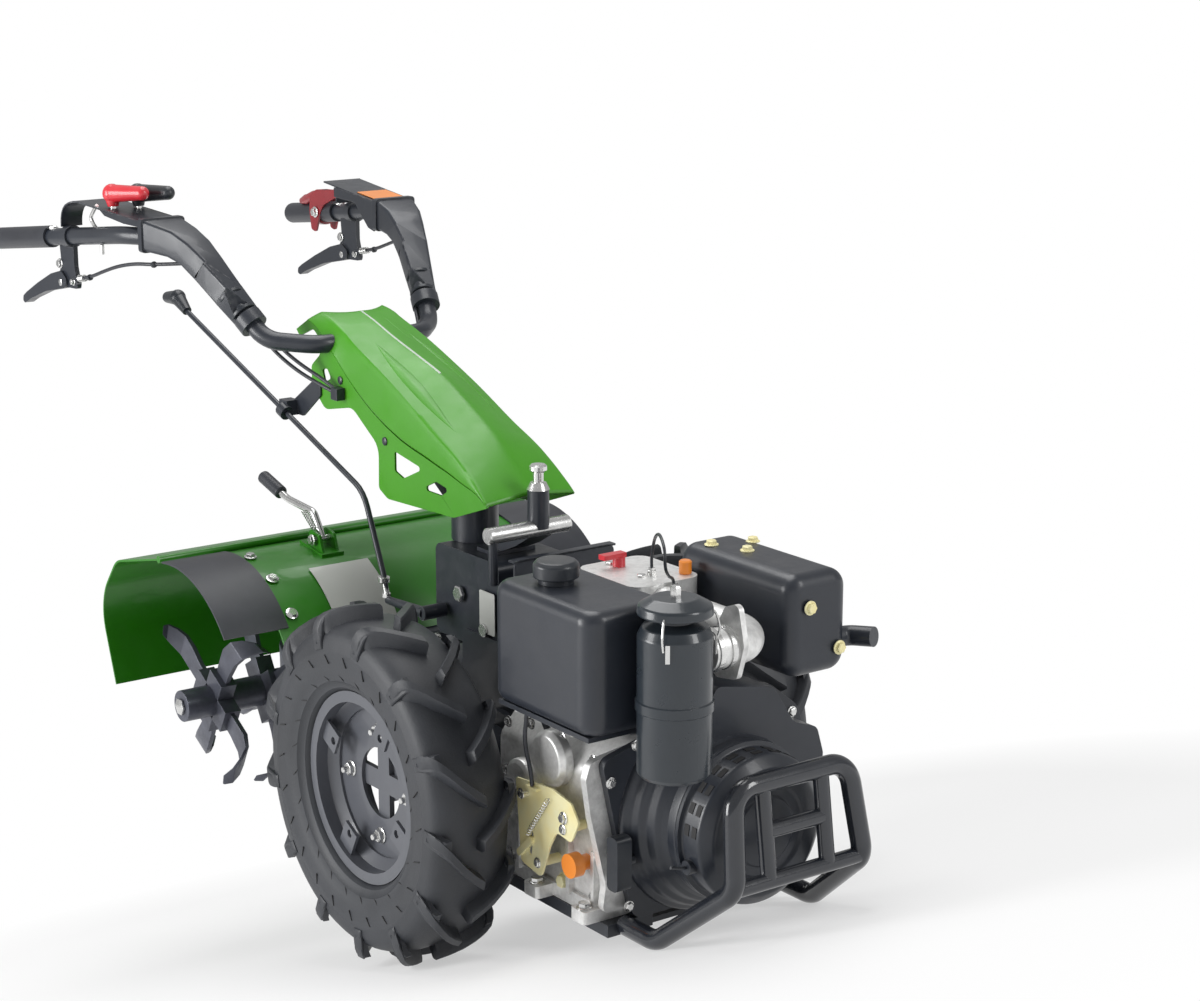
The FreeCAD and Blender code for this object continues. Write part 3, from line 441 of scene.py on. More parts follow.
def wire(route, radius, sides, steps=8):
    """Round wire: a circle carried along the smooth line, square to it. Its first spoke is
    square to the direction that the line's tangents lean to least, so it doesn't twist."""
    line = smooth_line(route, steps) if steps > 1 else np.asarray(route, float)
    ahead = np.gradient(line, axis=0)
    ahead /= np.linalg.norm(ahead, axis=1, keepdims=True)
    mean = np.linalg.svd(ahead)[2][-1]
    first = np.cross(mean, ahead)
    first /= np.maximum(np.linalg.norm(first, axis=1, keepdims=True), 1e-9)
    second = np.cross(ahead, first)
    t = np.linspace(0, 2 * np.pi, sides, endpoint=False)
    rings = line[:, None, :] + radius * (np.cos(t)[None, :, None] * first[:, None, :]
                                         + np.sin(t)[None, :, None] * second[:, None, :])
    return capped(rings, line[0], line[-1])


def bolt(place, axis, across, height, washer, turn=0.0):
    """Hexagon head with a chamfered crown on a round washer."""
    reach = across / 2 / math.cos(math.pi / 6)
    head = turned([(reach, 1.6), (reach, height - 1.0), (reach - 1.4, height)], place, axis,
                  6, turn)
    plate = turned([(washer, 0), (washer, 1.3), (washer - 0.5, 1.6)], place, axis, 20)
    return joined([plate, head])


def spring(start, end, radius, wire_radius, turns):
    """Coil: the wire's centre goes round the axis while its height grows evenly."""
    start, end = np.asarray(start, float), np.asarray(end, float)
    _, first, second = across_of(end - start)
    t = np.linspace(0, 1, turns * 12 + 1)[:, None]
    a = 2 * np.pi * turns * t
    line = start + (end - start) * t + radius * (np.cos(a) * first + np.sin(a) * second)
    return wire(line, wire_radius, 6, 1)


def slab(corners, thickness):
    """Thin plate: four or more corners in one plane, thickened along their normal."""
    corners = np.asarray(corners, float)
    normal = np.cross(corners[1] - corners[0], corners[2] - corners[0])
    normal *= thickness / np.linalg.norm(normal)
    count = len(corners)
    points = np.concatenate([corners, corners + normal])
    faces = [list(range(count))[::-1], list(range(count, 2 * count))]
    faces += [[i, (i + 1) % count, count + (i + 1) % count, count + i] for i in range(count)]
    return points, faces


def fit(name, shape, slot, body="chassis", finish=None, smooth=True, stands_for=(),
        edge=0.0):
    """Puts a level shape, or a list of them, on the parked machine as one named piece."""
    points, faces = joined(shape) if isinstance(shape, list) else shape
    mesh = bpy.data.meshes.new(name)
    mesh.from_pydata(park(points).tolist(), [], faces)
    mesh.validate()
    made = bmesh.new()
    made.from_mesh(mesh)
    bmesh.ops.remove_doubles(made, verts=made.verts, dist=1e-6)
    bmesh.ops.recalc_face_normals(made, faces=made.faces)
    made.to_mesh(mesh)
    made.free()
    mesh.materials.append(finish or FINISHES[slot])
    piece = bpy.data.objects.new(name, mesh)
    bpy.context.scene.collection.objects.link(piece)
    if smooth:
        mesh.polygons.foreach_set("use_smooth", [True] * len(mesh.polygons))
        mesh.set_sharp_from_angle(angle=math.radians(34))
    if edge:
        rounding = piece.modifiers.new("edges", "BEVEL")
        rounding.width = edge * MM
        rounding.segments = 2
        rounding.limit_method = "ANGLE"
        rounding.harden_normals = True
    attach(piece, body)
    if stands_for:
        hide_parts(*stands_for)
    return piece


# ---------------------------------------------------------------- tyres

WHEEL_OFFSET = 270.0
HALF_WIDTH = 64.0
LUG_COUNT = 13
LUG_SWEEP = math.radians(16.0)
LUG_WIDTH = 17.0
SEAT_HALF = 39.5
BEAD_RADIUS = 127.8


def on_wheel(side, radius, angle, across):
    """Level point at a radius, an angle round the axle and a distance out from the wheel's
    centre plane: x = r cos a, y = side (offset + across), z = axle - side r sin a."""
    radius, angle, across = np.broadcast_arrays(radius, angle, across)
    return np.stack([radius * np.cos(angle), side * (WHEEL_OFFSET + across),
                     TYRE_RADIUS - side * radius * np.sin(angle)], axis=-1)


def tyre_carcass(side):
    """The side wall and tread profile carried once round the axle; thin raised rings are
    small steps in the profile."""
    half = np.array([
        (241, 0), (241, 14), (240, 24), (238, 36), (234, 46), (229, 54), (222, 60),
        (213, 63), (204, 64), (201, 64.9), (199, 64.9), (197, 64), (188, 63.6), (178, 62.4),
        (168, 60), (160, 56.5), (157, 56.6), (155, 54.5), (149, 50), (146, 49.2), (144, 46.5),
        (141.2, 42), (141.0, SEAT_HALF), (134, SEAT_HALF - 0.1), (BEAD_RADIUS, SEAT_HALF - 0.3)])
    loop = np.concatenate([half, half[:0:-1] * [1, -1]])
    angle = np.linspace(0, 2 * np.pi, 144, endpoint=False)[:, None]
    points = on_wheel(side, loop[None, :, 0], angle, loop[None, :, 1])
    return points.reshape(-1, 3), grid_faces(len(angle), len(loop), True, True)


def tyre_lugs(side):
    """Every tread bar at once. Along a bar the share s gives its place across, its lead
    round the tread, and its top and root radii; round its section eight corners carry the
    chamfers; the outer end is a flat tab with a slot pressed into it."""
    share = np.array([-0.07, -0.04, 0.20, 0.45, 0.66, 0.80, 0.90, 0.97, 1.02, 1.03, 1.03,
                      1.03])
    lead = np.array([1.03, 1.0, 0.83, 0.62, 0.40, 0.25, 0.15, 0.06, 0.02, 0.0, 0.0, 0.0])
    top = TYRE_RADIUS - np.array([3.0, 0.0, 0.3, 1.5, 4.0, 7.0, 11.0, 19.0, 28.0, 38.0, 46.0,
                                  51.0])
    root = np.array([236, 235, 235, 234, 231, 228, 224, 214, 206, 202, 201, 201.0])
    corners = np.array([  # share of the half width, share of the height from root to top
        (-1.22, 0.0), (-1.04, 0.72), (-0.98, 0.90), (-0.78, 1.0), (0.78, 1.0), (0.98, 0.90),
        (1.04, 0.72), (1.22, 0.0)])
    spread = 1 + 0.25 * np.clip((share - 0.75) / 0.28, 0, 1)
    row = np.array([1.0, -1.0])[:, None, None, None]
    number = np.arange(LUG_COUNT)[None, :, None, None]
    first = side * (math.pi / 2 - PARK_ANGLE - LUG_SWEEP)
    start = first + 2 * math.pi / LUG_COUNT * (number + np.where(row < 0, 0.5, 0.0))
    s = share[None, None, :, None]
    middle = start + side * lead[None, None, :, None] * LUG_SWEEP
    height = root[:, None] + (top - root)[:, None] * corners[None, :, 1]
    sideways = LUG_WIDTH / 2 * spread[:, None] * corners[None, :, 0] / TYRE_RADIUS
    across = row * (s * HALF_WIDTH - np.where(s > 0.9, 6.0, 0.0) * (1 - corners[:, 1]))
    points = on_wheel(side, height[None, None], middle + sideways[None, None], across)
    faces, count = [], 2 * LUG_COUNT
    one = grid_faces(len(share), len(corners))
    one += [list(range(len(corners)))]
    one += [list(range((len(share) - 1) * len(corners), len(share) * len(corners)))[::-1]]
    one += [[r * 8 + 7, (r + 1) * 8 + 7, (r + 1) * 8, r * 8] for r in range(len(share) - 1)]
    step = len(share) * len(corners)
    for i in range(count):
        faces += [[index + i * step for index in face] for face in one]
    return points.reshape(-1, 3), faces


def border(grid):
    """Points round the edge of a grid of points, in order."""
    return np.concatenate([grid[0], grid[1:, -1], grid[-1, -2::-1], grid[-2:0:-1, 0]])


TAB_RADIUS = 226.0
TAB_HALF_LENGTH = 22.0
TAB_OUT = 66.6
TAB_THICKNESS = 9.0


def lug_tabs(side):
    """Flat tab on the shoulder end of each bar: a rounded plate whose face sinks along a
    slot, depth = 2 mm inside the slot and none outside."""
    u = np.array([-1, -0.86, -0.28, -0.2, 0.2, 0.28, 0.86, 1.0])
    v = np.array([-1, -0.9, -0.62, -0.54, 0.54, 0.62, 0.9, 1.0])
    uu, vv = np.meshgrid(u, v, indexing="ij")
    sunk = 2.0 * ((abs(uu) < 0.24) & (abs(vv) < 0.58))
    edge = 1.4 * ((abs(uu) > 0.95) | (abs(vv) > 0.95))
    out = TAB_OUT - sunk - edge - np.clip((vv - 0.1) * 9, 0, 9)
    radius = (TAB_RADIUS + TAB_HALF_LENGTH * vv)[None]
    lean = side * 0.018 * (vv + 1)
    number = np.arange(LUG_COUNT)[:, None, None]
    flat = grid_faces(len(u), len(v))
    shapes = []
    for row in (1, -1):
        first = side * (math.pi / 2 - PARK_ANGLE - LUG_SWEEP)
        middle = first + 2 * math.pi / LUG_COUNT * (number + (0.5 if row < 0 else 0.0))
        front, rear = (on_wheel(side, radius, middle + half * uu[None] / TAB_RADIUS + lean,
                                row * (out - deep)[None])
                       for half, deep in ((10.5, 0.0), (11.5, TAB_THICKNESS)))
        for face, back in zip(front, rear):
            wall = np.concatenate([border(face), border(back)])
            shapes += [(face.reshape(-1, 3), flat), (back.reshape(-1, 3), flat),
                       (wall, grid_faces(2, len(wall) // 2, closed_columns=True))]
    return joined(shapes)


def side_wall_marks(side):
    """Two circles of short radial bars moulded on the outer side wall: for each, the
    radius, length, place out, shift in pitches, tilt, and drop of its outer and inner end."""
    shapes = []
    bars = 24
    for radius, length, out, shift, tilt, drops in ((189, 13, 63.9, 0, 0.02, (0.0, 0.0)),
                                                    (163, 12, 58.4, 0.5, 0.035, (0.6, -2.6))):
        r = np.array([radius - length / 2, radius + length / 2] * 2)
        wide = np.array([-1, -1, 1, 1]) * 1.1 / radius
        bend = (r - radius) / length * tilt * 2
        drop = np.where(r > radius, *drops)
        for i in range(bars):
            middle = 2 * math.pi * (i + shift) / bars
            low = on_wheel(side, r, middle + wide + bend, out + drop - 1.5)
            high = on_wheel(side, r, middle + wide * 0.7 + bend, out + drop + 1.0)
            shapes.append((np.concatenate([low, high]),
                           [[0, 1, 3, 2], [4, 6, 7, 5], [0, 4, 5, 1], [2, 3, 7, 6],
                            [1, 5, 7, 3], [0, 2, 6, 4]]))
    return joined(shapes)


NUT_CIRCLE = 79.0
DISC_OUT = 9.4


def dress_wheels():
    """Tyre, side wall bars and the disc's four nuts with their studs, on each wheel."""
    for name, side in SIDES:
        body = "wheel_" + name
        fit("tyre_tread_" + name, [tyre_carcass(side), tyre_lugs(side), lug_tabs(side)],
            "tyre_rubber", body, stands_for=["tyre_" + name])
        # The bars are drawn near-black: painted shade along the moulded side wall ribs.
        fit("side_wall_rib_shade_" + name, side_wall_marks(side), "tyre_rubber", body,
            PAINTED_SHADE_RUBBER, smooth=False)
        nuts = []
        for i in range(4):
            place = on_wheel(side, NUT_CIRCLE, math.radians(90 * i), DISC_OUT)
            nuts.append(bolt(place, (0, side, 0), 17, 8.5, 12, 0.3 * i))
            nuts.append(turned([(4.6, 0), (4.6, 15), (3.8, 16)], place, (0, side, 0), 14))
        fit("disc_nuts_" + name, nuts, "bright_zinc", body)


# ---------------------------------------------------------------- plates and lofts

VIEWS = {"side": (0, 2, 1), "front": (1, 2, 0), "top": (0, 1, 2)}


def rounded(points, radii, closed=True, step=15.0):
    """The outline with arcs at its corners: each arc touches both runs at radius over
    tan of half the corner's opening, and its points turn by equal angles."""
    points = [np.array(point, float) for point in points]
    count = len(points)
    line = []
    for i, corner in enumerate(points):
        inside = closed or 0 < i < count - 1
        radius = radii[i] if radii and inside else 0
        back, ahead = points[i - 1] - corner, points[(i + 1) % count] - corner
        back, ahead = back / np.linalg.norm(back), ahead / np.linalg.norm(ahead)
        half = math.acos(float(np.clip(back @ ahead, -1, 1))) / 2
        turn = math.pi - 2 * half
        if not radius or turn < 0.02:
            line.append(corner)
            continue
        middle = corner + (back + ahead) / np.linalg.norm(back + ahead) * radius / math.sin(half)
        start = corner + back * radius / math.tan(half) - middle
        end = corner + ahead * radius / math.tan(half) - middle
        steps = max(2, math.ceil(math.degrees(turn) / step))
        for k in range(steps + 1):
            f = k / steps
            line.append(middle + (start * math.sin((1 - f) * turn)
                                  + end * math.sin(f * turn)) / math.sin(turn))
    return np.array(line)


def plate(view, outline, low, high, radii=None, windows=()):
    """Slab with an outline in the side (x, z), front (y, z) or top (x, y) view, between
    two depths; windows are (outline, radii) cut through it."""
    rings = [rounded(outline, radii)] + [rounded(ring, soft) for ring, soft in windows]
    flat = np.concatenate(rings)
    count = len(flat)
    across, up, deep = VIEWS[view]
    points = np.zeros((2 * count, 3))
    points[:, across] = np.tile(flat[:, 0], 2)
    points[:, up] = np.tile(flat[:, 1], 2)
    points[:count, deep] = low
    points[count:, deep] = high
    caps = tessellate_polygon([[Vector((a, b, 0.0)) for a, b in ring] for ring in rings])
    faces = [list(face) for face in caps]
    faces += [[count + i for i in face[::-1]] for face in caps]
    start = 0
    for ring in rings:
        for i in range(len(ring)):
            a, b = start + i, start + (i + 1) % len(ring)
            faces.append([a, b, count + b, count + a])
        start += len(ring)
    return points, faces


def loft(sections):
    """Solid through sections with as many points each, its ends closed."""
    rows, columns = len(sections), len(sections[0])
    faces = grid_faces(rows, columns, closed_columns=True)
    faces += [list(range(columns))[::-1], list(range((rows - 1) * columns, rows * columns))]
    return np.concatenate([np.asarray(section, float) for section in sections]), faces


def box_section(centre, forward, width, height, corner):
    """Rounded rectangle square to a forward direction, its width kept level."""
    ahead = np.asarray(forward, float) / np.linalg.norm(forward)
    across = np.cross([0.0, 0.0, 1.0], ahead)
    across /= np.linalg.norm(across)
    up = np.cross(ahead, across)
    corners = [np.asarray(centre) + across * (w * width / 2) + up * (h * height / 2)
               for w, h in ((-1, -1), (1, -1), (1, 1), (-1, 1))]
    return rounded(corners, [corner] * 4, step=22.5)


def ball(centre, radius):
    """Ball: rings at even angles from pole to pole."""
    a = np.linspace(0.001, math.pi - 0.001, 11)
    profile = np.stack([radius * np.sin(a), radius - radius * np.cos(a)], axis=1)
    return turned(profile, np.asarray(centre, float) - [0, 0, radius], (0, 0, 1), 20)


def cone(start, end, low, high):
    """Round bar that tapers from one radius to another."""
    start, end = np.asarray(start, float), np.asarray(end, float)
    return turned([(low, 0), (high, np.linalg.norm(end - start))], start, end - start, 20)


def drum(profile, radii, start, axis, sides=48):
    """Turned shape whose profile has rounded corners."""
    return turned(rounded(profile, radii, closed=False), start, axis, sides)


def box(low, high):
    """Block between two corners."""
    (x, y, z), (far_x, far_y, far_z) = low, high
    return plate("top", [(x, y), (far_x, y), (far_x, far_y), (x, far_y)], z, far_z)


# ---------------------------------------------------------------- engine forms

CRANK = 288.0
CASE_FRONT = 383.3
# Outlines in the front view: y, z.
CASE_OUTLINE = [(-158, 166), (138, 166), (138, 340), (98, 400), (-113, 400), (-158, 350)]
FLANGE_OUTLINE = [(-167, 164), (138, 164), (138, 345), (103, 400), (-60, 400), (-186, 383),
                  (-194, 360), (-186, 306), (-161, 204)]
GOVERNOR_POSTS = ((231, 297), (330, 275), (270, 208))


def crankcase():
    """Block and front flange with two round covers, a sump, ribs and the feet."""
    case = [plate("front", CASE_OUTLINE, 128, 383, [12, 12, 25, 15, 15, 25]),
            plate("front", FLANGE_OUTLINE, 371, CASE_FRONT, [10, 12, 25, 15, 20, 12, 10, 20, 20]),
            drum([(40, 0), (40, 12), (34, 20), (0.5, 20)], [0, 4, 5, 0], (265, -157.5, 352),
                 (0, -1, 0)),
            drum([(30, 0), (30, 12), (24, 16), (0.5, 16)], [0, 3, 3, 0], (190, -157.5, 300),
                 (0, -1, 0), 36),
            box((153, -162, 150), (373, 146, 170))]
    case += [plate("side", [(x, 166), (x + 7, 166), (x + 7, 246), (x, 246)], -167, -150)
             for x in (178, 298, 356)]
    case += [plate("top", [(x, -190), (x + 34, -190), (x + 34, 166), (x, 166)], 150, 168,
                   [6] * 4) for x in (228, 340)]
    fit("crankcase_casting", case, "cast_aluminium", edge=1.5, stands_for=["engine_crankcase"])


def governor():
    """Slotted sheet on three posts, with its folded ear and its lever."""
    parts = [plate("side", [(217, 317), (262, 321), (304, 325), (348, 317), (365, 294),
                            (348, 261), (314, 266), (298, 240), (277, 189), (229, 198)],
                   -193, -190, [4, 0, 8, 8, 8, 8, 12, 20, 8, 8],
                   [([(246, 214), (254, 213), (260, 248), (252, 250)], [3.5] * 4)]),
             box((250, -200, 314), (276, -188, 317)),
             plate("side", [(262, 236), (256, 244), (222, 212), (228, 204)], -197, -190,
                   [4.5] * 4)]
    parts += [rod((x, -191, z), (x, -157.7, z), 7) for x, z in GOVERNOR_POSTS]
    fit("governor_sheet", parts, "yellow_zinc", edge=0.5, stands_for=["governor_plate"])


BLOWER_FRONT = 470.0
STARTER_REAR = BLOWER_FRONT + 0.3
STARTER_RADIUS = 105.0
STARTER_DEPTH = 54.2
SLOT_RADIUS = 103.8
SLOT_COUNT = 11


def blower():
    """Back plate, stepped round shell and the raised duct to the cylinder."""
    start = CASE_FRONT + 5
    depth = BLOWER_FRONT - start
    shell = [plate("front", [(-124, 150.5), (120, 150.5), (178, 220), (190, 316), (160, 400),
                             (110, 440), (20, 455), (-60, 415), (-176, 385), (-166, 340)],
                   CASE_FRONT, CASE_FRONT + 12, [20, 40, 40, 50, 30, 25, 30, 40, 15, 30]),
             drum([(150, 0), (147, 14), (139, 20), (135, 32), (127, 38), (123, 52),
                   (117, 58), (112, depth - 16), (112, depth), (0.5, depth)],
                  [4, 8, 8, 8, 8, 8, 4, 0, 3, 0], (start, 0, CRANK), (1, 0, 0), 72),
             plate("front", [(0, 300), (155, 300), (162, 345), (150, 385), (108, 400),
                             (70, 458), (-28, 476), (-60, 400)], start, BLOWER_FRONT - 20,
                   [0, 0, 15, 15, 20, 14, 12, 20])]
    fit("blower_housing", shell, "satin_black_paint", edge=3.0, stands_for=["fan_shroud"])


def starter():
    """Drum turned from its dished profile, with the boss that the rope leaves."""
    radius, deep = STARTER_RADIUS, STARTER_DEPTH
    face = [(112, 0), (112, 5), (radius, 7), (radius, deep - 14), (radius - 16, deep),
            (66, deep), (62, deep - 5), (50, deep - 5), (47, deep - 2), (0.5, deep - 2)]
    fit("starter_drum", [drum(face, [0, 0, 3, 9, 10, 3, 3, 2, 2, 0], (STARTER_REAR, 0, CRANK),
                              (1, 0, 0), 88),
                         rod((490, -radius + 14, 252), (490, -radius - 4, 252), 10)],
        "satin_black_paint", stands_for=["recoil_starter"])


def starter_slot_shade():
    """Dark plates of painted shade in the drum's slots, at even angles round its upper half, in
    two rings.
    """
    slots = []
    for height in (11.0, 26.0):
        for i in range(SLOT_COUNT):
            a = math.pi / SLOT_COUNT * (i + 0.5)
            out = np.array([0.0, math.cos(a), math.sin(a)])
            side = np.array([0.0, -math.sin(a), math.cos(a)])
            middle = np.array([STARTER_REAR + height + 4.5, 0, CRANK]) + out * SLOT_RADIUS
            corners = [middle + side * s + [x, 0, 0] for s, x in
                       ((-7.5, -4.5), (7.5, -4.5), (7.5, 4.5), (-7.5, 4.5))]
            inward = out @ np.cross(corners[1] - corners[0], corners[2] - corners[0]) < 0
            slots.append(slab(corners, -2.0 if inward else 2.0))
    # Near-black finish: painted shade inside the slots.
    fit("starter_slot_shade", slots, "satin_black_paint", finish=PAINTED_SHADE_RUBBER)


def selector():
    """Post, sloping web and cross tube on the gearbox's lid."""
    x, y, z, top = 1.0, -3.0, 597.0, 545.3
    base = [plate("top", [(-112, -40), (-64, -40), (-64, 40), (-112, 40)], top, top + 6,
                  [8] * 4),
            plate("side", [(-108, top + 4), (-68, top + 4), (-30, z - 32), (x + 9, z - 9),
                           (x - 9, z + 7), (-62, z - 22)], -24, 20, [0, 0, 20, 0, 0, 20]),
            rod((x, y, z), (x, y, z + 60), 16, 24),
            rod((x, -83, z), (x, -83, z - 74), 7)]
    fit("selector_body", base, "satin_black_paint", edge=1.0)
    barrel = [rod((x, -94, z), (x, 50, z), 12.5, 24, 2.0),
              cone((x, y, z + 58), (x, y, z + 68), 17, 12),
              rod((x, y, z + 66), (x, y, z + 86), 8, 20),
              rod((x, y, z + 84), (x, y, z + 95), 13, 24, 2.5)]
    fit("selector_barrel", barrel, "bright_zinc")


def shield_sheet():
    """Folded sheet between the gearbox and the engine."""
    sheet = [plate("front", [(-75, 406.6), (62, 406.6), (62, 470), (92, 518), (105, 566),
                             (-75, 566)], 41, 44, [0, 0, 20, 40, 10, 10]),
             plate("top", [(41, -75), (150, -60), (150, 50), (41, 62)], 406.6, 409.6,
                   [0, 12, 12, 0]), box((29, -75, 563), (44, 105, 566))]
    fit("shield_sheet", sheet, "satin_black_paint")


# ---------------------------------------------------------------- handle forms

COVER_STATIONS = np.array([
    # centre x, y, z, width, height
    (-743, 218, 961, 73, 50), (-699, 207, 952, 58, 45), (-671.5, 199, 939, 50, 43),
    (-642.5, 190.5, 915, 45, 41), (-603, 177, 877.5, 40, 38), (-564, 163.5, 842, 35, 35)])
HANDLE_ROUTE = [(-1222, 292, 907), (-800, 260, 957), (-690, 206, 958), (-532, 152, 812),
                (-470, 96, 808), (-470, 0, 808)]
HANDLE_RADII = [0, 120, 90, 60, 50]
COVER_FOOT = np.array([-532, 152, 812])
COVER_RUN = np.array([158.0, -54.0, -146.0]) / 221.8


def handle_tube():
    """One bent tube from the right hand's end round the column to the left hand's."""
    route = [(x, -y, z) for x, y, z in HANDLE_ROUTE[:-1]] + HANDLE_ROUTE[-2::-1]
    line = rounded(route, HANDLE_RADII + HANDLE_RADII[::-1], closed=False, step=8.0)
    return wire(line, 14.5, 22, 1)


def tube_at(x, side):
    """Centre of the handle tube on its straight rear run: y and z go evenly with x."""
    rear, bend = np.array(HANDLE_ROUTE[:2], float)
    along, out, up = bend - rear
    reach = x - rear[0]
    return np.array([x, side * (rear[1] + reach * out / along), rear[2] + reach * up / along])


def tube_run(side):
    """Direction of the straight rear run, forwards."""
    run = tube_at(-900, side) - tube_at(-1000, side)
    return run / np.linalg.norm(run)


def console_height(x):
    """Top of the folded plate, which rises evenly to the rear from the cover's collar."""
    return 984 + (-753.3 - x) * 17 / 234.7


def band(path, radii, thickness):
    """Bent strip in the side view: the rounded path and the same path moved square to it."""
    line = rounded(path, radii, closed=False)
    ahead = np.gradient(line, axis=0)
    ahead /= np.linalg.norm(ahead, axis=1, keepdims=True)
    return line, line + np.stack([ahead[:, 1], -ahead[:, 0]], axis=1) * thickness


def console(side):
    """Folded top plate: a bent strip in the side view, as wide at each x as the plan says.
    Two cheeks stand under it, each y going evenly with x from the front edge back."""
    front, rear = -753.3, -988.0
    foot = tube_at(rear, side)[2] + 17
    over, under = band([(rear, foot), (rear, 1001), (front, 984)], [0, 40, 0], 3.0)
    plan = [(-1000, 284, 246), (-980, 283, 244), (-972, 282, 243), (-955, 277, 202),
            (-945, 272, 199), (-870, 264, 190), (front, 254, 182)]
    stations, outer, inner = (np.array(column, float) for column in zip(*plan))
    rows = []
    for (x, z), (low_x, low_z) in zip(over, under):
        a, b = np.interp(x, stations, outer), np.interp(x, stations, inner)
        rows.append([(x, side * a, z), (x, side * b, z), (low_x, side * b, low_z),
                     (low_x, side * a, low_z)])
    shapes = [loft(rows)]
    for y_front, y_rear, corners in (
            (252, 263, [(front, 974), (front, 984), (-872, 990), (-858, 982), (-800, 975)]),
            (182, 191, [(front, 932), (front, 984), (-905, 992), (-905, 975), (-826, 974),
                        (-775, 936)])):
        shapes.append(loft([[(x, side * (y_front + (y_rear - y_front) * (x - front)
                                         / (-872 - front) + shift), z) for x, z in corners]
                            for shift in (0.0, 3.0)]))
    return joined(shapes)


def arm_shell(side):
    """Tapered cover: rounded boxes square to the arm's bend at each station, a collar at its
    upper end and a round lip on the tube below."""
    centres = COVER_STATIONS[:, :3] * [1, side, 1]
    sections = []
    for i, (width, height) in enumerate(COVER_STATIONS[:, 3:]):
        ahead = centres[min(i + 1, len(centres) - 1)] - centres[max(i - 1, 0)]
        sections.append(box_section(centres[i], [1, 0, 0] if i == 0 else ahead, width, height, 6))
    collar = [box_section(centres[0] + [reach, 0, 0], (1, 0, 0), 78, 55, 6)
              for reach in (-10, 2)]
    run, foot = COVER_RUN * [1, side, 1], COVER_FOOT * [1, side, 1]
    lip = rod(foot - run * 30, foot - run * 52, 23, 28)
    return joined([loft(sections), loft(collar), lip])


def hand_knob(x, y, z):
    """Stalk and long knob that leans forwards and to the middle."""
    heel, tip = np.array([x - 3, y, z + 29]), np.array([x + 62, y + 22, z + 34])
    return joined([rod((x, y, z), (x - 2, y, z + 22), 5), cone((x - 1, y, z + 8), heel, 9, 14),
                   ball(heel, 16), cone(heel, tip, 15, 11.5), ball(tip, 11.5)])


LEVER_PLACE = 272


def brake_hand_lever(side):
    """Bracket clamped to the tube, its lever held below the grip, and the wire's nipple."""
    y = side * LEVER_PLACE
    low, run = tube_at(-971, side), tube_run(side)
    return joined([
        plate("side", [(-1012, 921), (-958, 927), (-958, 888), (-949, 858), (-952, 851),
                       (-1014, 848), (-1021, 866), (-1008, 886)], y - 4, y + 4,
              [3, 3, 10, 4, 4, 8, 8, 12]),
        plate("side", [(-1004, 876), (-1045, 866), (-1102, 843), (-1150, 821), (-1164, 813),
                       (-1166, 804), (-1158, 801), (-1132, 812), (-1068, 833), (-992, 848),
                       (-980, 862)], y - 8, y + 8, [10, 40, 60, 20, 4, 4, 4, 40, 60, 10, 8]),
        rod((-966, y, 866), (-948, y, 869), 6), rod(low - run * 10, low + run * 10, 18.5, 28)])


def clutch_hand_lever():
    """Two cheeks and a paddle on the left hand's tube, held down as when driving."""
    spot, run = tube_at(-1096.0, 1), tube_run(1)
    cheek = [(-1104, 892), (-1088, 888), (-1076, 918), (-1060, 940), (-1020, 956),
             (-1002, 962), (-1006, 972), (-1050, 970), (-1084, 966), (-1108, 954),
             (-1110, 925)]
    soft = [6, 6, 12, 20, 10, 5, 5, 20, 10, 14, 14]
    path = np.array([(-1072, 0, 955), (-1112, 1, 951), (-1144, 2, 941.5),
                     (-1169, 2, 935.5)]) + [0, spot[1], 0]
    sizes = ((42, 20), (38, 19), (35, 18), (22, 11))
    paddle = loft([box_section(p, path[min(i + 1, 3)] - path[max(i - 1, 0)], wide, tall,
                               tall * 0.42) for i, (p, (wide, tall)) in
                   enumerate(zip(path, sizes))])
    return joined([plate("side", cheek, y, y + 4, soft) for y in (spot[1] - 22, spot[1] + 18)]
                  + [plate("side", [(-1104, 946), (-1064, 954), (-1066, 966), (-1098, 958)],
                           spot[1] - 20, spot[1] + 20, [4] * 4),
                     paddle, rod(spot - run * 9, spot + run * 9, 22.5, 28)])


def handle_forms():
    """The tube, then on each side the cover with its console, and the levers and knobs."""
    fit("handle_tube", handle_tube(), "satin_black_paint", stands_for=["handlebar_tube"])
    for name, side in SIDES:
        cover = fit("arm_shell_" + name, arm_shell(side), "satin_black_paint", edge=1.5)
        folded = fit("console_" + name, console(side), "satin_black_paint", edge=0.8)
        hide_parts("arm_cover_" + name)
        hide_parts("arm_cover_" + name)
        fit("hand_lever_" + name, brake_hand_lever(side), "satin_black_paint", edge=1.5,
            stands_for=["brake_lever_" + name])
    fit("clutch_hand_lever", clutch_hand_lever(), "red_plastic", finish=LEVER_RED, edge=1.5)
    fit("red_knob", hand_knob(-867, -243, 987.0), "red_plastic")
    fit("black_knob", hand_knob(-855, -203, 986.0), "black_plastic")


ROD_Y = -100.0
ROD_TOP = np.array([-907, ROD_Y, 805])


def rod_and_knob():
    """Long rod with its hand knob, bent down to the ball joint and the gearbox's arm."""
    y = ROD_Y
    line = rounded([tuple(ROD_TOP), (-331, y, 600), (-277, y, 481), (-265, y, 440)],
                   [0, 60, 40, 0], closed=False)
    heel, tip = (-934, y, 822), (-970, y, 818)
    fit("rod_and_arm", [wire(line, 4.5, 12, 1), cone((-265, y, 442), (-160, y, 446), 6, 9),
                        rod((-160, -65.3, 446), (-160, -106, 446), 11)],
        "satin_black_paint", stands_for=["shift_rod"])
    fit("rod_knob", [cone((-901, y, 803), heel, 8, 13), ball(heel, 14), cone(heel, tip, 13, 10),
                     ball(tip, 10)], "black_plastic")


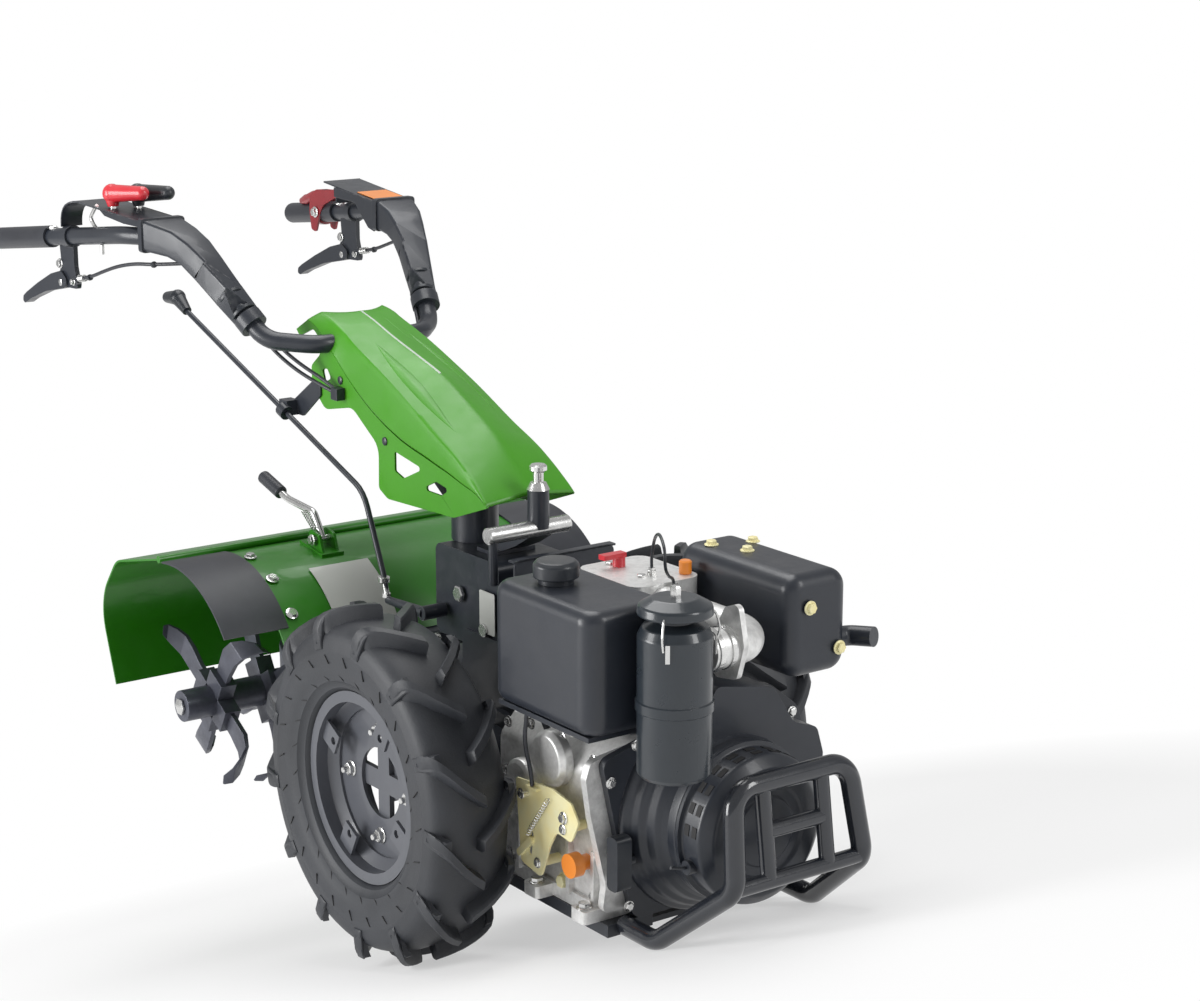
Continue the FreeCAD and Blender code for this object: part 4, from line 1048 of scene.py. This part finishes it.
def rod_guide():
    """Bent strap on the bonnet's side with the eye that guides the shift rod."""
    strap = [plate("side", [(-489, 741), (-515, 741), (-572, 704), (-590, 700), (-590, 680),
                            (-545, 680), (-489, 722)], -81.3, -78.3, [5, 8, 8, 4, 4, 10, 6]),
             plate("side", [(-590, 703), (-566, 703), (-560, 680), (-590, 680)], -100, -78.3)]
    slope = np.array([576.0, 0.0, -205.0]) / 611.4
    middle = ROD_TOP + slope * 355
    strap.append(rod(middle - slope * 9, middle + slope * 9, 12))
    fit("rod_guide", strap, "satin_black_paint", edge=0.6)


# ---------------------------------------------------------------- tiller forms

def hitch():
    """Lever with its grip between two ears on a bent foot, on the hood."""
    y = ROD_Y
    seat = [plate("side", [(-486, 487.5), (-436, 481), (-446, 508), (-474, 514)], low, low + 4,
                  [0, 0, 8, 8]) for low in (y - 15, y + 11)]
    seat.append(slab([(-500, y - 20, 485.5), (-500, y + 20, 485.5), (-430, y + 20, 476),
                      (-430, y - 20, 476)], -5.0))
    fit("hitch_seat", seat, "green_paint")
    route = rounded([(-460, y, 498), (-488, y, 536), (-570, y, 541), (-640, y, 560)],
                    [0, 16, 60, 0], closed=False)
    fit("hitch_lever", [wire(route, 6, 14, 1),
                        rod((-460, y - 20, 499), (-460, y + 20, 499), 5)], "bright_zinc")
    fit("hitch_grip", rod((-590, y, 546.5), (-652, y, 563.3), 11, 20, 3.0), "grip_rubber",
        edge=1.0)


def blank_plates():
    """Bare plates where the machine carries its signs: one on the hood's arc between two
    angles, one flat on the gearbox."""
    angle, y = np.meshgrid(np.linspace(34, 66, 17), [-158.0, -52.0], indexing="ij")
    front = on_hood(angle, y, 3.6)
    back = on_hood(angle, y, 2.6)
    rows = [np.array([front[:, i, 0], front[:, i, 1], back[:, i, 1], back[:, i, 0]])
            for i in range(17)]
    fit("hood_plate", loft(rows), "bright_zinc", finish=PLATE_GREY)
    fit("gearbox_plate", plate("side", [(-62, 436), (-22, 436), (-22, 500), (-62, 500)], -66.2,
                               -65.2, [3] * 4), "bright_zinc", finish=PLATE_GREY)


def knife(hook):
    """One sickle blade along +X: a flat section at each station, which leans over in step
    with its sideways place."""
    stations = [
        # radial, trailing and sideways place, half width, thickness share
        (22, 0, 0, 15, 1.0), (66, 0, 0, 17, 1.0), (96, 3, 0, 20, 1.0), (116, 10, 5, 21, 0.9),
        (127, 18, 16, 20, 0.8), (134, 28, 30, 16, 0.7), (131, 38, 42, 9, 0.6)]
    sections = []
    for radial, trail, aside, half, share in stations:
        lean = aside / 42.0
        out = np.array([1 - 0.5 * lean, 0, 0]) * (4 * share * lean)
        skin = out - np.array([0, 0, 4 * share * (1 - 0.6 * lean)]) * hook
        middle = np.array([radial, -trail, hook * aside])
        wide = np.array([-0.25 * lean, 1 - 0.2 * lean, 0]) * half
        sections.append([middle - wide - skin, middle + wide - skin, middle + wide + skin,
                         middle - wide + skin])
    return loft(sections)


def rotor_blades():
    """Half rotors: pipe, collar, shaft, and three ranks of four sockets and blades, each
    turned by 90 i + 30 rank degrees about the axis."""
    for name, side in SIDES:
        shapes = [turned([(25, 52), (25, 344)], (0, 0, 0), (0, 0, 1), 32),
                  turned([(42, 52), (42, 62)], (0, 0, 0), (0, 0, 1), 32),
                  turned([(17, 0), (17, 57)], (0, 0, 0), (0, 0, 1), 24)]
        for rank, height in enumerate((106.0, 194.0, 282.0)):
            for i in range(4):
                a = math.radians(90 * i + 30 * rank)
                turn = np.array([[math.cos(a), math.sin(a), 0], [-math.sin(a), math.cos(a), 0],
                                 [0, 0, 1]])
                for points, faces in (knife(1 if i % 2 else -1),
                                      box((20, -21, -14), (50, 21, 14))):
                    shapes.append((points @ turn + [0, 0, height], faces))
        points, faces = joined(shapes)
        points = np.stack([points[:, 0] - ROTOR_BEHIND, side * (points[:, 2] + 0.2),
                           side * -points[:, 1] + TYRE_RADIUS - ROTOR_DROP], axis=1)
        fit("blade_set_" + name, (points, faces), "blade_steel", "tine_rotor", edge=1.0,
            stands_for=["tine_rotor_" + name])


# ---------------------------------------------------------------- bonnet

BONNET_SPINE = np.array([
    # x, ridge z, top edge's y and z, chamfer's low edge z
    (-580, 858, 55, 852, 842), (-500, 850, 57, 845, 828), (-462, 841, 60, 833, 801),
    (-400, 822, 66, 810, 756), (-330, 803, 68, 783, 718), (-263, 784, 70, 755, 693),
    (-174, 745, 72, 715, 674), (-95, 703, 74, 682, 657), (-25, 645, 75.5, 637, 634),
    (12, 610, 76, 602, 598)])
BONNET_FRONT = -22.0
BONNET_HALF = 78.0
BONNET_WALL = 3.6
BONNET_WINDOWS = [
    [(-274, 671), (-193, 658), (-250, 633), (-274, 640)],
    [(-199, 627), (-157, 646), (-121, 640), (-143, 627)],
    [(-487, 765), (-471, 768), (-460, 754), (-480, 745)],
    [(-467, 736), (-447, 743), (-429, 732), (-453, 724)]]


def bonnet_line(x, column):
    """A spine column between its stations: cubic blend with the stations' own slopes."""
    stations, values = BONNET_SPINE[:, 0], BONNET_SPINE[:, column]
    slopes = np.gradient(values, stations)
    i = np.clip(np.searchsorted(stations, x) - 1, 0, len(stations) - 2)
    h = stations[i + 1] - stations[i]
    t = (x - stations[i]) / h
    return (values[i] * (2 * t ** 3 - 3 * t ** 2 + 1) + slopes[i] * h * (t ** 3 - 2 * t ** 2 + t)
            + values[i + 1] * (3 * t ** 2 - 2 * t ** 3) + slopes[i + 1] * h * (t ** 3 - t ** 2))


def bonnet_top(x, y, lift):
    """Height of the bonnet's top: from the ridge it falls evenly to the edge on each side,
    rounded at the ridge by replacing |y| with the root of y squared plus 36."""
    ridge, half, edge = (bonnet_line(x, column) for column in (1, 2, 3))
    far = np.sqrt(y ** 2 + 36.0) - 6.0
    return ridge - (ridge - edge) * far / half + lift


def bonnet_rear(share):
    """Rear edge: x falls with the square of the share of the width, from the ridge out."""
    return -496.0 - 34.0 * share ** 2


def bonnet_crown():
    """Top and chamfers: half a cross-section is the even fall from ridge to edge, then a
    slightly bowed chamfer; u runs from the arc at the rear to the straight front edge."""
    u = np.linspace(0, 1, 90)[:, None]
    parts = [(f, 0.0) for f in (0.0, 0.06, 0.12, 0.2, 0.4, 0.6, 0.8, 0.92, 0.98)]
    parts += [(1.0, f) for f in (0.05, 0.2, 0.4, 0.6, 0.8, 0.95, 1.0)]
    lines = []
    for top, chamfer in parts:
        rear = bonnet_rear((top * 70 + chamfer * 8) / 78)
        x = rear + (BONNET_FRONT - rear) * u
        wide, edge, low = (bonnet_line(x, column) for column in (2, 3, 4))
        y = top * wide + (BONNET_HALF - wide) * chamfer + 1.5 * math.sin(math.pi * chamfer)
        z = bonnet_top(x, top * wide, 0.0) + (low - edge) * chamfer
        lines.append(np.concatenate([x, y, z], axis=1))
    half = np.stack(lines, axis=1)
    whole = np.concatenate([half[:, :0:-1] * [1, -1, 1], half], axis=1)
    return whole.reshape(-1, 3), grid_faces(*whole.shape[:2])


def bonnet_skirt(side):
    """Flat side with its four windows, below the chamfer's low edge."""
    x = np.linspace(bonnet_rear(1.0), BONNET_FRONT, 40)
    upper = np.stack([x, bonnet_line(x, 4)], axis=1)
    lower = rounded([(BONNET_FRONT, 632), (-110, 600), (-296, 592), (-322, 604), (-320, 670),
                     (-397, 718), (-481, 701), (-520, 735), (-521, 766), (-492, 788),
                     (-492, 812), (-512, 826), (-556, 808), (-566, 818)],
                    [0, 30, 16, 8, 30, 30, 24, 14, 12, 12, 8, 12, 8, 6], closed=False)
    outline = np.concatenate([upper, lower[1:]])
    low, high = sorted((side * BONNET_HALF, side * (BONNET_HALF - BONNET_WALL)))
    windows = [(ring, [4] * 4) for ring in BONNET_WINDOWS]
    return plate("side", outline, low, high, None, windows)


def bonnet_patch(x_rear, x_front, y_near, y_far, height, bow=0.0):
    """Lens-shaped crease: half width sin(pi s) along its length s, and over its width v a
    roof of height (1 - |v|) sin(pi s); its line bows sideways by the same sine."""
    s = np.linspace(0, 1, 25)[:, None]
    v = np.linspace(-1, 1, 9)[None, :]
    swell = np.sin(np.pi * s)
    x = x_rear + (x_front - x_rear) * s + 0 * v
    middle = y_near + (y_far - y_near) * s + bow * swell
    y = middle + 11.0 * swell * v
    z = bonnet_top(x, y, 0.0) + height * (1 - abs(v)) * swell + 0.15 - 0.6 * (abs(v) > 0.99)
    return np.stack([x, y + 0 * z, z], axis=-1).reshape(-1, 3), grid_faces(25, 9)


def dress_bonnet():
    """A pale strip of painted highlight that narrows to the rear along the ridge, the crown
    with its wall, the sides, creases and screws."""
    # Painted highlight: a pale strip along the rounded ridge, narrowing to the rear.
    x = np.linspace(-494, -263, 40)[:, None]
    y = np.array([[-2.2, -1.8, 1.8, 2.2]]) * np.linspace(0.75, 1.0, 40)[:, None]
    lift = np.array([[-0.4, 0.45, 0.45, -0.4]])
    z = bonnet_top(x, y, lift)
    stripe = (np.stack([x + 0 * y, y, z], axis=-1).reshape(-1, 3), grid_faces(40, 4))
    fit("bonnet_ridge_highlight", stripe, "green_paint", finish=RIDGE_HIGHLIGHT_PAINT, smooth=False)
    crown = fit("bonnet_crown", bonnet_crown(), "green_paint", finish=BONNET_GREEN)
    wall = crown.modifiers.new("wall", "SOLIDIFY")
    wall.thickness = BONNET_WALL * MM
    wall.offset = -1.0
    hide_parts("bonnet")
    skirt = fit("bonnet_skirt", [bonnet_skirt(1), bonnet_skirt(-1)], "green_paint",
                finish=BONNET_GREEN, edge=0.8)
    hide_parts("bonnet")
    creases = [bonnet_patch(-400, -150, -34, -46, 2.6, -4),
               bonnet_patch(-480, -300, 26, 50, -0.1),
               bonnet_patch(-420, -190, 38, 50, 2.2, 6)]
    fit("bonnet_creases", creases, "green_paint", finish=BONNET_GREEN)
    screws = [turned([(6.5, 0), (6.5, 2.0), (4.0, 3.4)], (x, side * BONNET_HALF, z),
                     (0, side, 0), 18) for x, z in ((-300, 682), (-430, 756)) for side in (1, -1)]
    fit("bonnet_screws", screws, "satin_black_paint")


# ---------------------------------------------------------------- engine fittings

def bolts(places, axis, *sizes):
    """One bolt at each place: across, height, washer and, if given, turn."""
    return [bolt(place, axis, *sizes) for place in places]


def block_bolts():
    """Bolts of the blower, the starter's flange, the case and its feet, and the governor."""
    front = bolts([(395.5, y, z) for y, z in
                   ((-162, 354), (-150, 240), (-132, 172), (128, 176), (166, 236), (176, 316),
                    (150, 392), (86, 440), (-40, 424), (-120, 398))], (1, 0, 0), 11, 5, 8, 0.2)
    ring = bolts([(470.2, 104 * math.cos(a), CRANK + 104 * math.sin(a))
                  for a in (0.82, 2.36, 3.92, 5.46)], (1, 0, 0), 9, 4, 7)
    fit("shroud_bolts", front + ring, "bright_zinc")
    case = bolts([(x, -158.2, z) for x, z in
                  ((150, 178), (212, 176), (352, 178), (372, 236), (372, 300), (352, 372),
                   (280, 384), (206, 384), (150, 372), (146, 300), (146, 236))],
                 (0, -1, 0), 11, 5.5, 8.5)
    case += bolts([(x, y, 168.2) for x in (245, 357) for y in (-178, 134)], (0, 0, 1), 15, 8, 11)
    fit("case_bolts", case, "bright_zinc")
    rocker = bolts([(268, -16, 581.5), (189, -12, 581.5)], (0, 0, 1), 12, 7, 9)
    rocker += bolts([(314, -50, 529.8), (314, 48, 529.8), (170, 48, 529.8), (170, -50, 529.8)],
                    (0, 0, 1), 9, 5, 6.5)
    fit("rocker_bolts", rocker, "bright_zinc")
    parts = bolts([(x, -193.2, z) for x, z in GOVERNOR_POSTS], (0, -1, 0), 10, 4.5, 7.5, 0.4)
    parts += [spring((300, -197, 309), (252, -197, 246), 3.4, 0.8, 14),
              rod((246, -189, 301), (246, -203, 301), 4.2),
              wire([(304, -198, 312), (302, -197, 309), (300, -197, 309)], 0.8, 6),
              bolt((332, -193.4, 292), (0, -1, 0), 12, 6, 9)]
    fit("governor_fittings", parts, "bright_zinc")
    fit("drain_plug", bolt((283, -158.4, 178), (0, -1, 0), 16, 9, 12), "yellow_zinc")


def injector_fittings():
    """The looped pipe over the rocker cover, its two nuts and an orange plug."""
    loop = [(270, 0, 588), (270, 0, 612), (282, -4, 640), (318, -24, 656), (352, -42, 648),
            (358, -44, 622), (342, -26, 604), (322, -4, 592), (322, 0, 580)]
    fit("injector_pipe", wire(loop, 2.2, 12, 14), "black_plastic")
    nuts = [turned([(7, 0), (7, 8), (5, 9), (5, 12)], (x, 0, z), (0, 0, 1), 6)
            for x, z in ((270, 583.8), (322, 574))]
    fit("injector_nuts", nuts, "bright_zinc")
    fit("injector_plug", rod((290, 43, 584), (290, 43, 604), 9, 20, 2.0), "orange_plastic")


CLEANER_AXIS = (510, -145)


def tank_and_cleaner_fittings():
    """Bolts of silencer and tank, the cleaner's wire clips with their plates and its nut,
    the bands of its hose, the filler cap's disc and the starter's rope."""
    muffler = bolts([(286, 92, 617.2), (306, 150, 617.2), (340, 112, 617.2)], (0, 0, 1), 13, 7,
                    10)
    muffler += bolts([(491.2, 97, 573), (491.2, 150, 509)], (1, 0, 0), 13, 7, 10)
    fit("muffler_bolts", muffler, "yellow_zinc")
    x, y = CLEANER_AXIS
    clips = []
    for way in (-1, 1):
        hoop, strip = ([(x + reach, y + way * out, z) for reach, out, z in line] for line in
                       (((30, 42, 575), (33, 46, 592), (30, 42, 612), (26, 37, 618)),
                        ((36, 36, 560), (33, 41, 560), (33, 41, 584), (36, 36, 584))))
        clips += [wire(hoop, 1.5, 8), slab(strip, 1.6)]
    clips.append(turned([(7.5, 0), (7.5, 12), (5.5, 15)], (x, y, 633.5), (0, 0, 1), 6))
    fit("cleaner_clips", clips, "bright_zinc")
    bands = [turned([(28, 0), (29.2, 0.6), (29.2, 8.4), (28, 9)], (x, place, 553), (0, 1, 0), 36)
             for place in (-92, -72)]
    fit("hose_bands", bands, "bright_zinc")
    fit("cap_disc", rod((300, -182, 583.6), (300, -182, 586.2), 12), "black_plastic")
    bracket = bolts([(257, -109, 418), (353, -109, 418)], (0, -1, 0), 11, 5, 8)
    bracket += bolts([(x, y, 429.2) for x in (250, 380) for y in (-210, -130)], (0, 0, -1),
                     10, 5, 8)
    fit("tank_bolts", bracket, "bright_zinc")
    rope = wire([(490, -107, 252), (490, -120, 254), (490, -134, 258)], 2.2, 10)
    fit("starter_rope", rope, "black_plastic")


# ---------------------------------------------------------------- handle fittings

def handle_side(side):
    """Bright and dark fittings of one arm: the lever bracket's bolts, the wire's adjuster
    and spring, the grip's bolt, the ferrules of the brake wire and the cover's two rings."""
    bright, dark = [], []
    for x, z, across in ((-976, 936, 13), (-1011, 887, 12), (-1005, 856, 11), (-962, 862, 9)):
        bright.append(bolt((x, side * 276.2, z), (0, side, 0), across, 6, across * 0.72, x * 0.1))
        bright.append(bolt((x, side * 267.8, z), (0, -side, 0), across, 5, across * 0.72))
    y = side * LEVER_PLACE
    bright.append(rod((-955, y, 868), (-928, side * 272.4, 872), 4.4))
    bright.append(turned([(6, 0), (6, 5)], (-948, y, 869), (20, 0, 3.2), 6))
    bright.append(spring((-946, y, 869), (-925, side * 272.5, 872.5), 5.4, 0.7, 6))
    bright.append(bolt(tube_at(-1030, side) + [0, 0, 14], (0, 0, 1), 11, 5, 8))
    for x, y, z in ((-905, 273, 876), (-722, 246, 917)):
        dark.append(turned([(4.4, -3), (5.2, -2), (5.2, 2), (4.4, 3)], (x, side * y, z),
                           (1, 0, 0.3), 14))
    for reach in (-60, -95):
        run = COVER_RUN * [1, side, 1]
        dark.append(turned([(20.6, -3), (21.6, -2), (21.6, 2), (20.6, 3)],
                           COVER_FOOT * [1, side, 1] + run * reach, run, 28))
    return bright, dark


def dress_handles():
    """Fittings of both arms, the clutch lever's two bolts, and on the right arm the knobs'
    stalks, the bent wire hook and a pin."""
    bright, dark = (left + right for left, right in zip(handle_side(1), handle_side(-1)))
    bright += [bolt((-1086, 259, 925), (0, -1, 0), 13, 7, 10),
               bolt((-1086, 309, 925), (0, 1, 0), 13, 7, 10),
               rod((-867, -243, 986), (-868, -243, 1000), 5.6),
               rod((-855, -203, 985), (-856, -203, 999), 5.6)]
    hook = [(-889, -262, 996), (-902, -263, 984), (-911, -263, 972), (-896, -262, 958),
            (-868, -261, 951), (-842, -260, 950), (-822, -259, 953)]
    bright += [wire(hook, 3.2, 10), rod((-855, -272, 936), (-855, -272, 920), 3.4)]
    fit("handle_bolts", bright, "bright_zinc")
    fit("cable_ties", dark, "black_plastic")


def console_label():
    """Bare plate on the left console, where the machine carries a label."""
    corners = [(x, y, console_height(x) + 0.4) for x, y in
               ((-765, 192), (-765, 250), (-832, 255), (-832, 197))]
    fit("console_label", slab(corners, 0.8), "orange_plastic", smooth=False)


# ---------------------------------------------------------------- tiller fittings

HOOD_CENTRE = (-490, 280)
HOOD_RADIUS = 205


def on_hood(angle, y, lift):
    """Point on the hood's outside, raised by the lift."""
    a, radius = np.radians(angle), HOOD_RADIUS + lift
    return np.array([HOOD_CENTRE[0] + radius * np.cos(a), y, HOOD_CENTRE[1] + radius * np.sin(a)])


def dress_tiller():
    """Bolts of the hood's straps, the hitch's bolt and spring, and the rotor's end caps."""
    bright = []
    for side in (1, -1):
        for angle in (24, 44, 64, 84):
            a = math.radians(angle)
            bright.append(bolt(on_hood(angle, side * 226, 2.1), (math.cos(a), 0, math.sin(a)),
                               13, 6, 10, angle))
    bright += [bolt((-459, -120.2, 499), (0, -1, 0), 12, 6, 9),
               spring((-470, -108, 512), (-505, -108, 536), 4.0, 1.0, 9)]
    fit("tiller_bolts", bright, "bright_zinc")
    caps = [turned([(14, 0), (14, 2.5), (9, 3.9)], (-490, side * 346, 258), (0, side, 0), 6)
            for side in (1, -1)]
    fit("rotor_caps", caps, "bright_zinc", "tine_rotor")


def dress_gearbox():
    """Bolts round the neck's and the axle's flanges, and the shift rod's ball joint."""
    ring = [bolt((x, 49 * math.cos(a), 310 + 49 * math.sin(a)), (way, 0, 0), 11, 6, 7.5)
            for a in np.radians(range(30, 390, 60)) for x, way in ((-213.4, -1), (-286.6, 1))]
    for side in (1, -1):
        ring += bolts([(57 * math.cos(a), side * 75.5, TYRE_RADIUS + 57 * math.sin(a))
                       for a in np.radians(range(0, 360, 60))], (0, side, 0), 11, 6, 7.5)
    fit("gearcase_bolts", ring, "bright_zinc")
    joint = [turned([(3, 0), (9.5, 2), (9.5, 9), (7, 12)], (-276, -100, 478), (-4, 0, -41), 12),
             rod((-273, -100, 466), (-266, -100, 444), 4.6),
             turned([(7, 0), (7, 6)], (-269, -100, 452), (-4, 0, -41), 6),
             rod((-50, -64.4, 440), (-50, -70, 440), 10),
             turned([(13, 0), (13, 4), (11, 5.6)], (-118, -64.2, 480), (0, -1, 0), 6)]
    fit("rod_joint", joint, "bright_zinc")


# ---------------------------------------------------------------- cables

def route_curve(name, route, radius):
    """Round cable on one NURBS line through the level route's control points."""
    curve = bpy.data.curves.new(name, "CURVE")
    curve.dimensions = "3D"
    curve.bevel_depth = radius * MM
    curve.bevel_resolution = 4
    curve.use_fill_caps = True
    line = curve.splines.new("NURBS")
    line.points.add(len(route) - 1)
    for point, place in zip(line.points, park(route)):
        point.co = (*place, 1.0)
    line.order_u = 3
    line.use_endpoint_u = True
    line.resolution_u = 12
    curve.materials.append(FINISHES["grip_rubber"])
    piece = bpy.data.objects.new(name, curve)
    bpy.context.scene.collection.objects.link(piece)
    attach(piece, "chassis")
    return piece


def line_length(piece):
    """Length of a cable's own line, from the curve with no bevel."""
    bare = piece.copy()
    bare.data = piece.data.copy()
    bare.data.bevel_depth = 0.0
    bpy.context.scene.collection.objects.link(bare)
    mesh = bpy.data.meshes.new_from_object(bare)
    places = np.empty(len(mesh.vertices) * 3)
    mesh.vertices.foreach_get("co", places)
    places = places.reshape(-1, 3)
    length = float(np.linalg.norm(np.diff(places, axis=0), axis=1).sum())
    bpy.data.meshes.remove(mesh)
    bpy.data.objects.remove(bare)
    return length


def cable(name, route, radius):
    """A cord between two pieces of the machine."""
    piece = route_curve(name, route, radius)
    round(line_length(piece), 3)


WIRE_RADIUS = 3.0
HANDLE_WIRES = {
    "brake_wire_": [(-947, 272, 869), (-905, 273, 876), (-858, 272, 891), (-808, 268, 906),
                    (-762, 259, 915), (-720, 246, 917), (-672, 211, 922)],
    "clutch_wire_": [(-566, 148, 822), (-548.6, 142.5, 806.7), (-526, 131, 785),
                     (-500, 117, 766), (-474, 103, 752), (-449, 92, 742), (-434, 89, 738)],
    "steer_wire_": [(-560.5, 141.8, 830), (-543.4, 136, 814.7), (-521, 125, 793),
                    (-497, 110, 774), (-472, 97, 760), (-448, 89, 749), (-432, 88, 743)]}


def dress_cables():
    """The engine's hose and wire, the wires of both arms, and the clips where they end."""
    cable("fuel_hose", [(228, -160, 462), (204, -160, 460), (197, -156, 438),
                        (204, -151, 412), (220, -147, 392), (225, -143, 373)], 5.0)
    cable("throttle_wire", [(250, -196.5, 435.4), (250, -196.5, 412), (246, -197.5, 388),
                            (249, -197.5, 364), (259, -196.5, 340), (262, -196.5, 318)],
          WIRE_RADIUS)
    for name, side in SIDES:
        for wire_name, route in HANDLE_WIRES.items():
            cable(wire_name + name, [(x, side * y, z) for x, y, z in route], WIRE_RADIUS)
        low, high = sorted((side * 78.3, side * 93.5))
        block = turned([(13, 0), (13.6, 0.8), (13.6, high - low - 0.8), (13, high - low)],
                       (-427, low, 736), (0, 1, 0), 4, math.pi / 4)
        fit("cable_clip_" + name, block, "black_plastic", edge=1.0)


for dress in (dress_wheels, crankcase, governor, blower, starter, starter_slot_shade, selector,
              shield_sheet, handle_forms, rod_and_knob, rod_guide, hitch, blank_plates,
              rotor_blades, dress_bonnet, block_bolts, injector_fittings,
              tank_and_cleaner_fittings, dress_handles, console_label, dress_tiller,
              dress_gearbox, dress_cables):
    dress()


# ---------------------------------------------------------------- studio

MIRRORED_WORLD = 0.42
AMBIENT = 0.36
CAMERA_AT = (2963.8, -2052.5, 1522.3)
CAMERA_YAW = math.radians(36.1)
CAMERA_PITCH = math.radians(13.8)
SENSOR_WIDTH = 36.0
LENS = 76.5


def make_camera():
    """Camera over the machine's front right corner, turned with the level frame."""
    data = bpy.data.cameras.new("camera")
    data.sensor_width = SENSOR_WIDTH
    data.lens = LENS
    data.clip_end = 60.0
    camera = bpy.data.objects.new("camera", data)
    ahead = park_direction((-math.cos(CAMERA_PITCH) * math.cos(CAMERA_YAW),
                            math.cos(CAMERA_PITCH) * math.sin(CAMERA_YAW),
                            -math.sin(CAMERA_PITCH)))
    right = park_direction((math.sin(CAMERA_YAW), math.cos(CAMERA_YAW), 0.0))
    up = right.cross(ahead)
    turn = Matrix((right, up, -ahead)).transposed().to_4x4()
    camera.matrix_world = Matrix.Translation(park([CAMERA_AT])[0]) @ turn
    bpy.context.scene.collection.objects.link(camera)
    bpy.context.scene.camera = camera


def make_floor():
    """Pale floor that keeps the shadow near the machine and fades to white far away."""
    reach = 30.0
    mesh = bpy.data.meshes.new("floor")
    mesh.from_pydata([(-reach, -reach, 0), (reach, -reach, 0), (reach, reach, 0),
                      (-reach, reach, 0)], [], [(0, 1, 2, 3)])
    floor = bpy.data.objects.new("floor", mesh)
    bpy.context.scene.collection.objects.link(floor)
    material, shader, body = surface("pale floor")
    feed(shader, body, Base_Color=(0.92, 0.92, 0.92, 1.0), Roughness=0.6,
         Specular_IOR_Level=0.2)
    glow = shader.add("Emission", {"Color": (1, 1, 1, 1), "Strength": 1.0})
    far = shader.add("VectorMath", {0: shader.coordinates()}, operation="LENGTH")
    fade = shader.maths("MAXIMUM", shader.spread(far.outputs["Value"], 0.7, 1.5), 0.5)
    seen = shader.add("LightPath").outputs
    direct = shader.maths("MAXIMUM", seen["Is Camera Ray"], seen["Is Glossy Ray"])
    blend = shader.add("MixShader", {0: shader.times(fade, direct)})
    links = material.node_tree.links
    links.new(body.outputs["BSDF"], blend.inputs[1])
    links.new(glow.outputs["Emission"], blend.inputs[2])
    out = next(n for n in material.node_tree.nodes if n.type == "OUTPUT_MATERIAL")
    links.new(blend.outputs["Shader"], out.inputs["Surface"])
    mesh.materials.append(material)


def make_world():
    """White as seen directly, dimmer in reflections, and dimmer still as a lamp."""
    world = bpy.data.worlds.new("studio")
    world.use_nodes = True
    tree = world.node_tree
    tree.nodes.clear()
    shader = Shader(tree)
    seen = shader.add("LightPath").outputs
    direct = shader.maths("MAXIMUM", seen["Is Camera Ray"], seen["Is Transmission Ray"])
    mirrored = shader.times(seen["Is Glossy Ray"], MIRRORED_WORLD)
    strength = shader.maths("MAXIMUM", shader.maths("MAXIMUM", direct, mirrored), AMBIENT)
    back = shader.add("Background", {"Color": (1, 1, 1, 1), "Strength": strength})
    out = shader.add("OutputWorld")
    tree.links.new(back.outputs["Background"], out.inputs["Surface"])
    bpy.context.scene.world = world


def softbox(name, place, aim, width, height, watts):
    """Rectangular lamp in parked metres, aimed at a point."""
    data = bpy.data.lights.new(name, "AREA")
    data.shape = "RECTANGLE"
    data.size = width
    data.size_y = height
    data.energy = watts
    lamp = bpy.data.objects.new(name, data)
    direction = Vector(aim) - Vector(place)
    lamp.rotation_euler = direction.to_track_quat("-Z", "Y").to_euler()
    lamp.location = place
    bpy.context.scene.collection.objects.link(lamp)


def make_studio():
    make_camera()
    make_floor()
    make_world()
    middle = (0.0, 0.0, 0.5)
    softbox("overhead", (0.1, 0.2, 3.2), middle, 2.6, 1.6, 50.0)
    softbox("near side", (-0.9, -3.4, 1.5), middle, 1.7, 2.2, 115.0)
    softbox("front", (3.6, 1.4, 1.6), middle, 0.9, 2.0, 46.0)
    bpy.context.scene.view_settings.view_transform = "Standard"


make_studio()
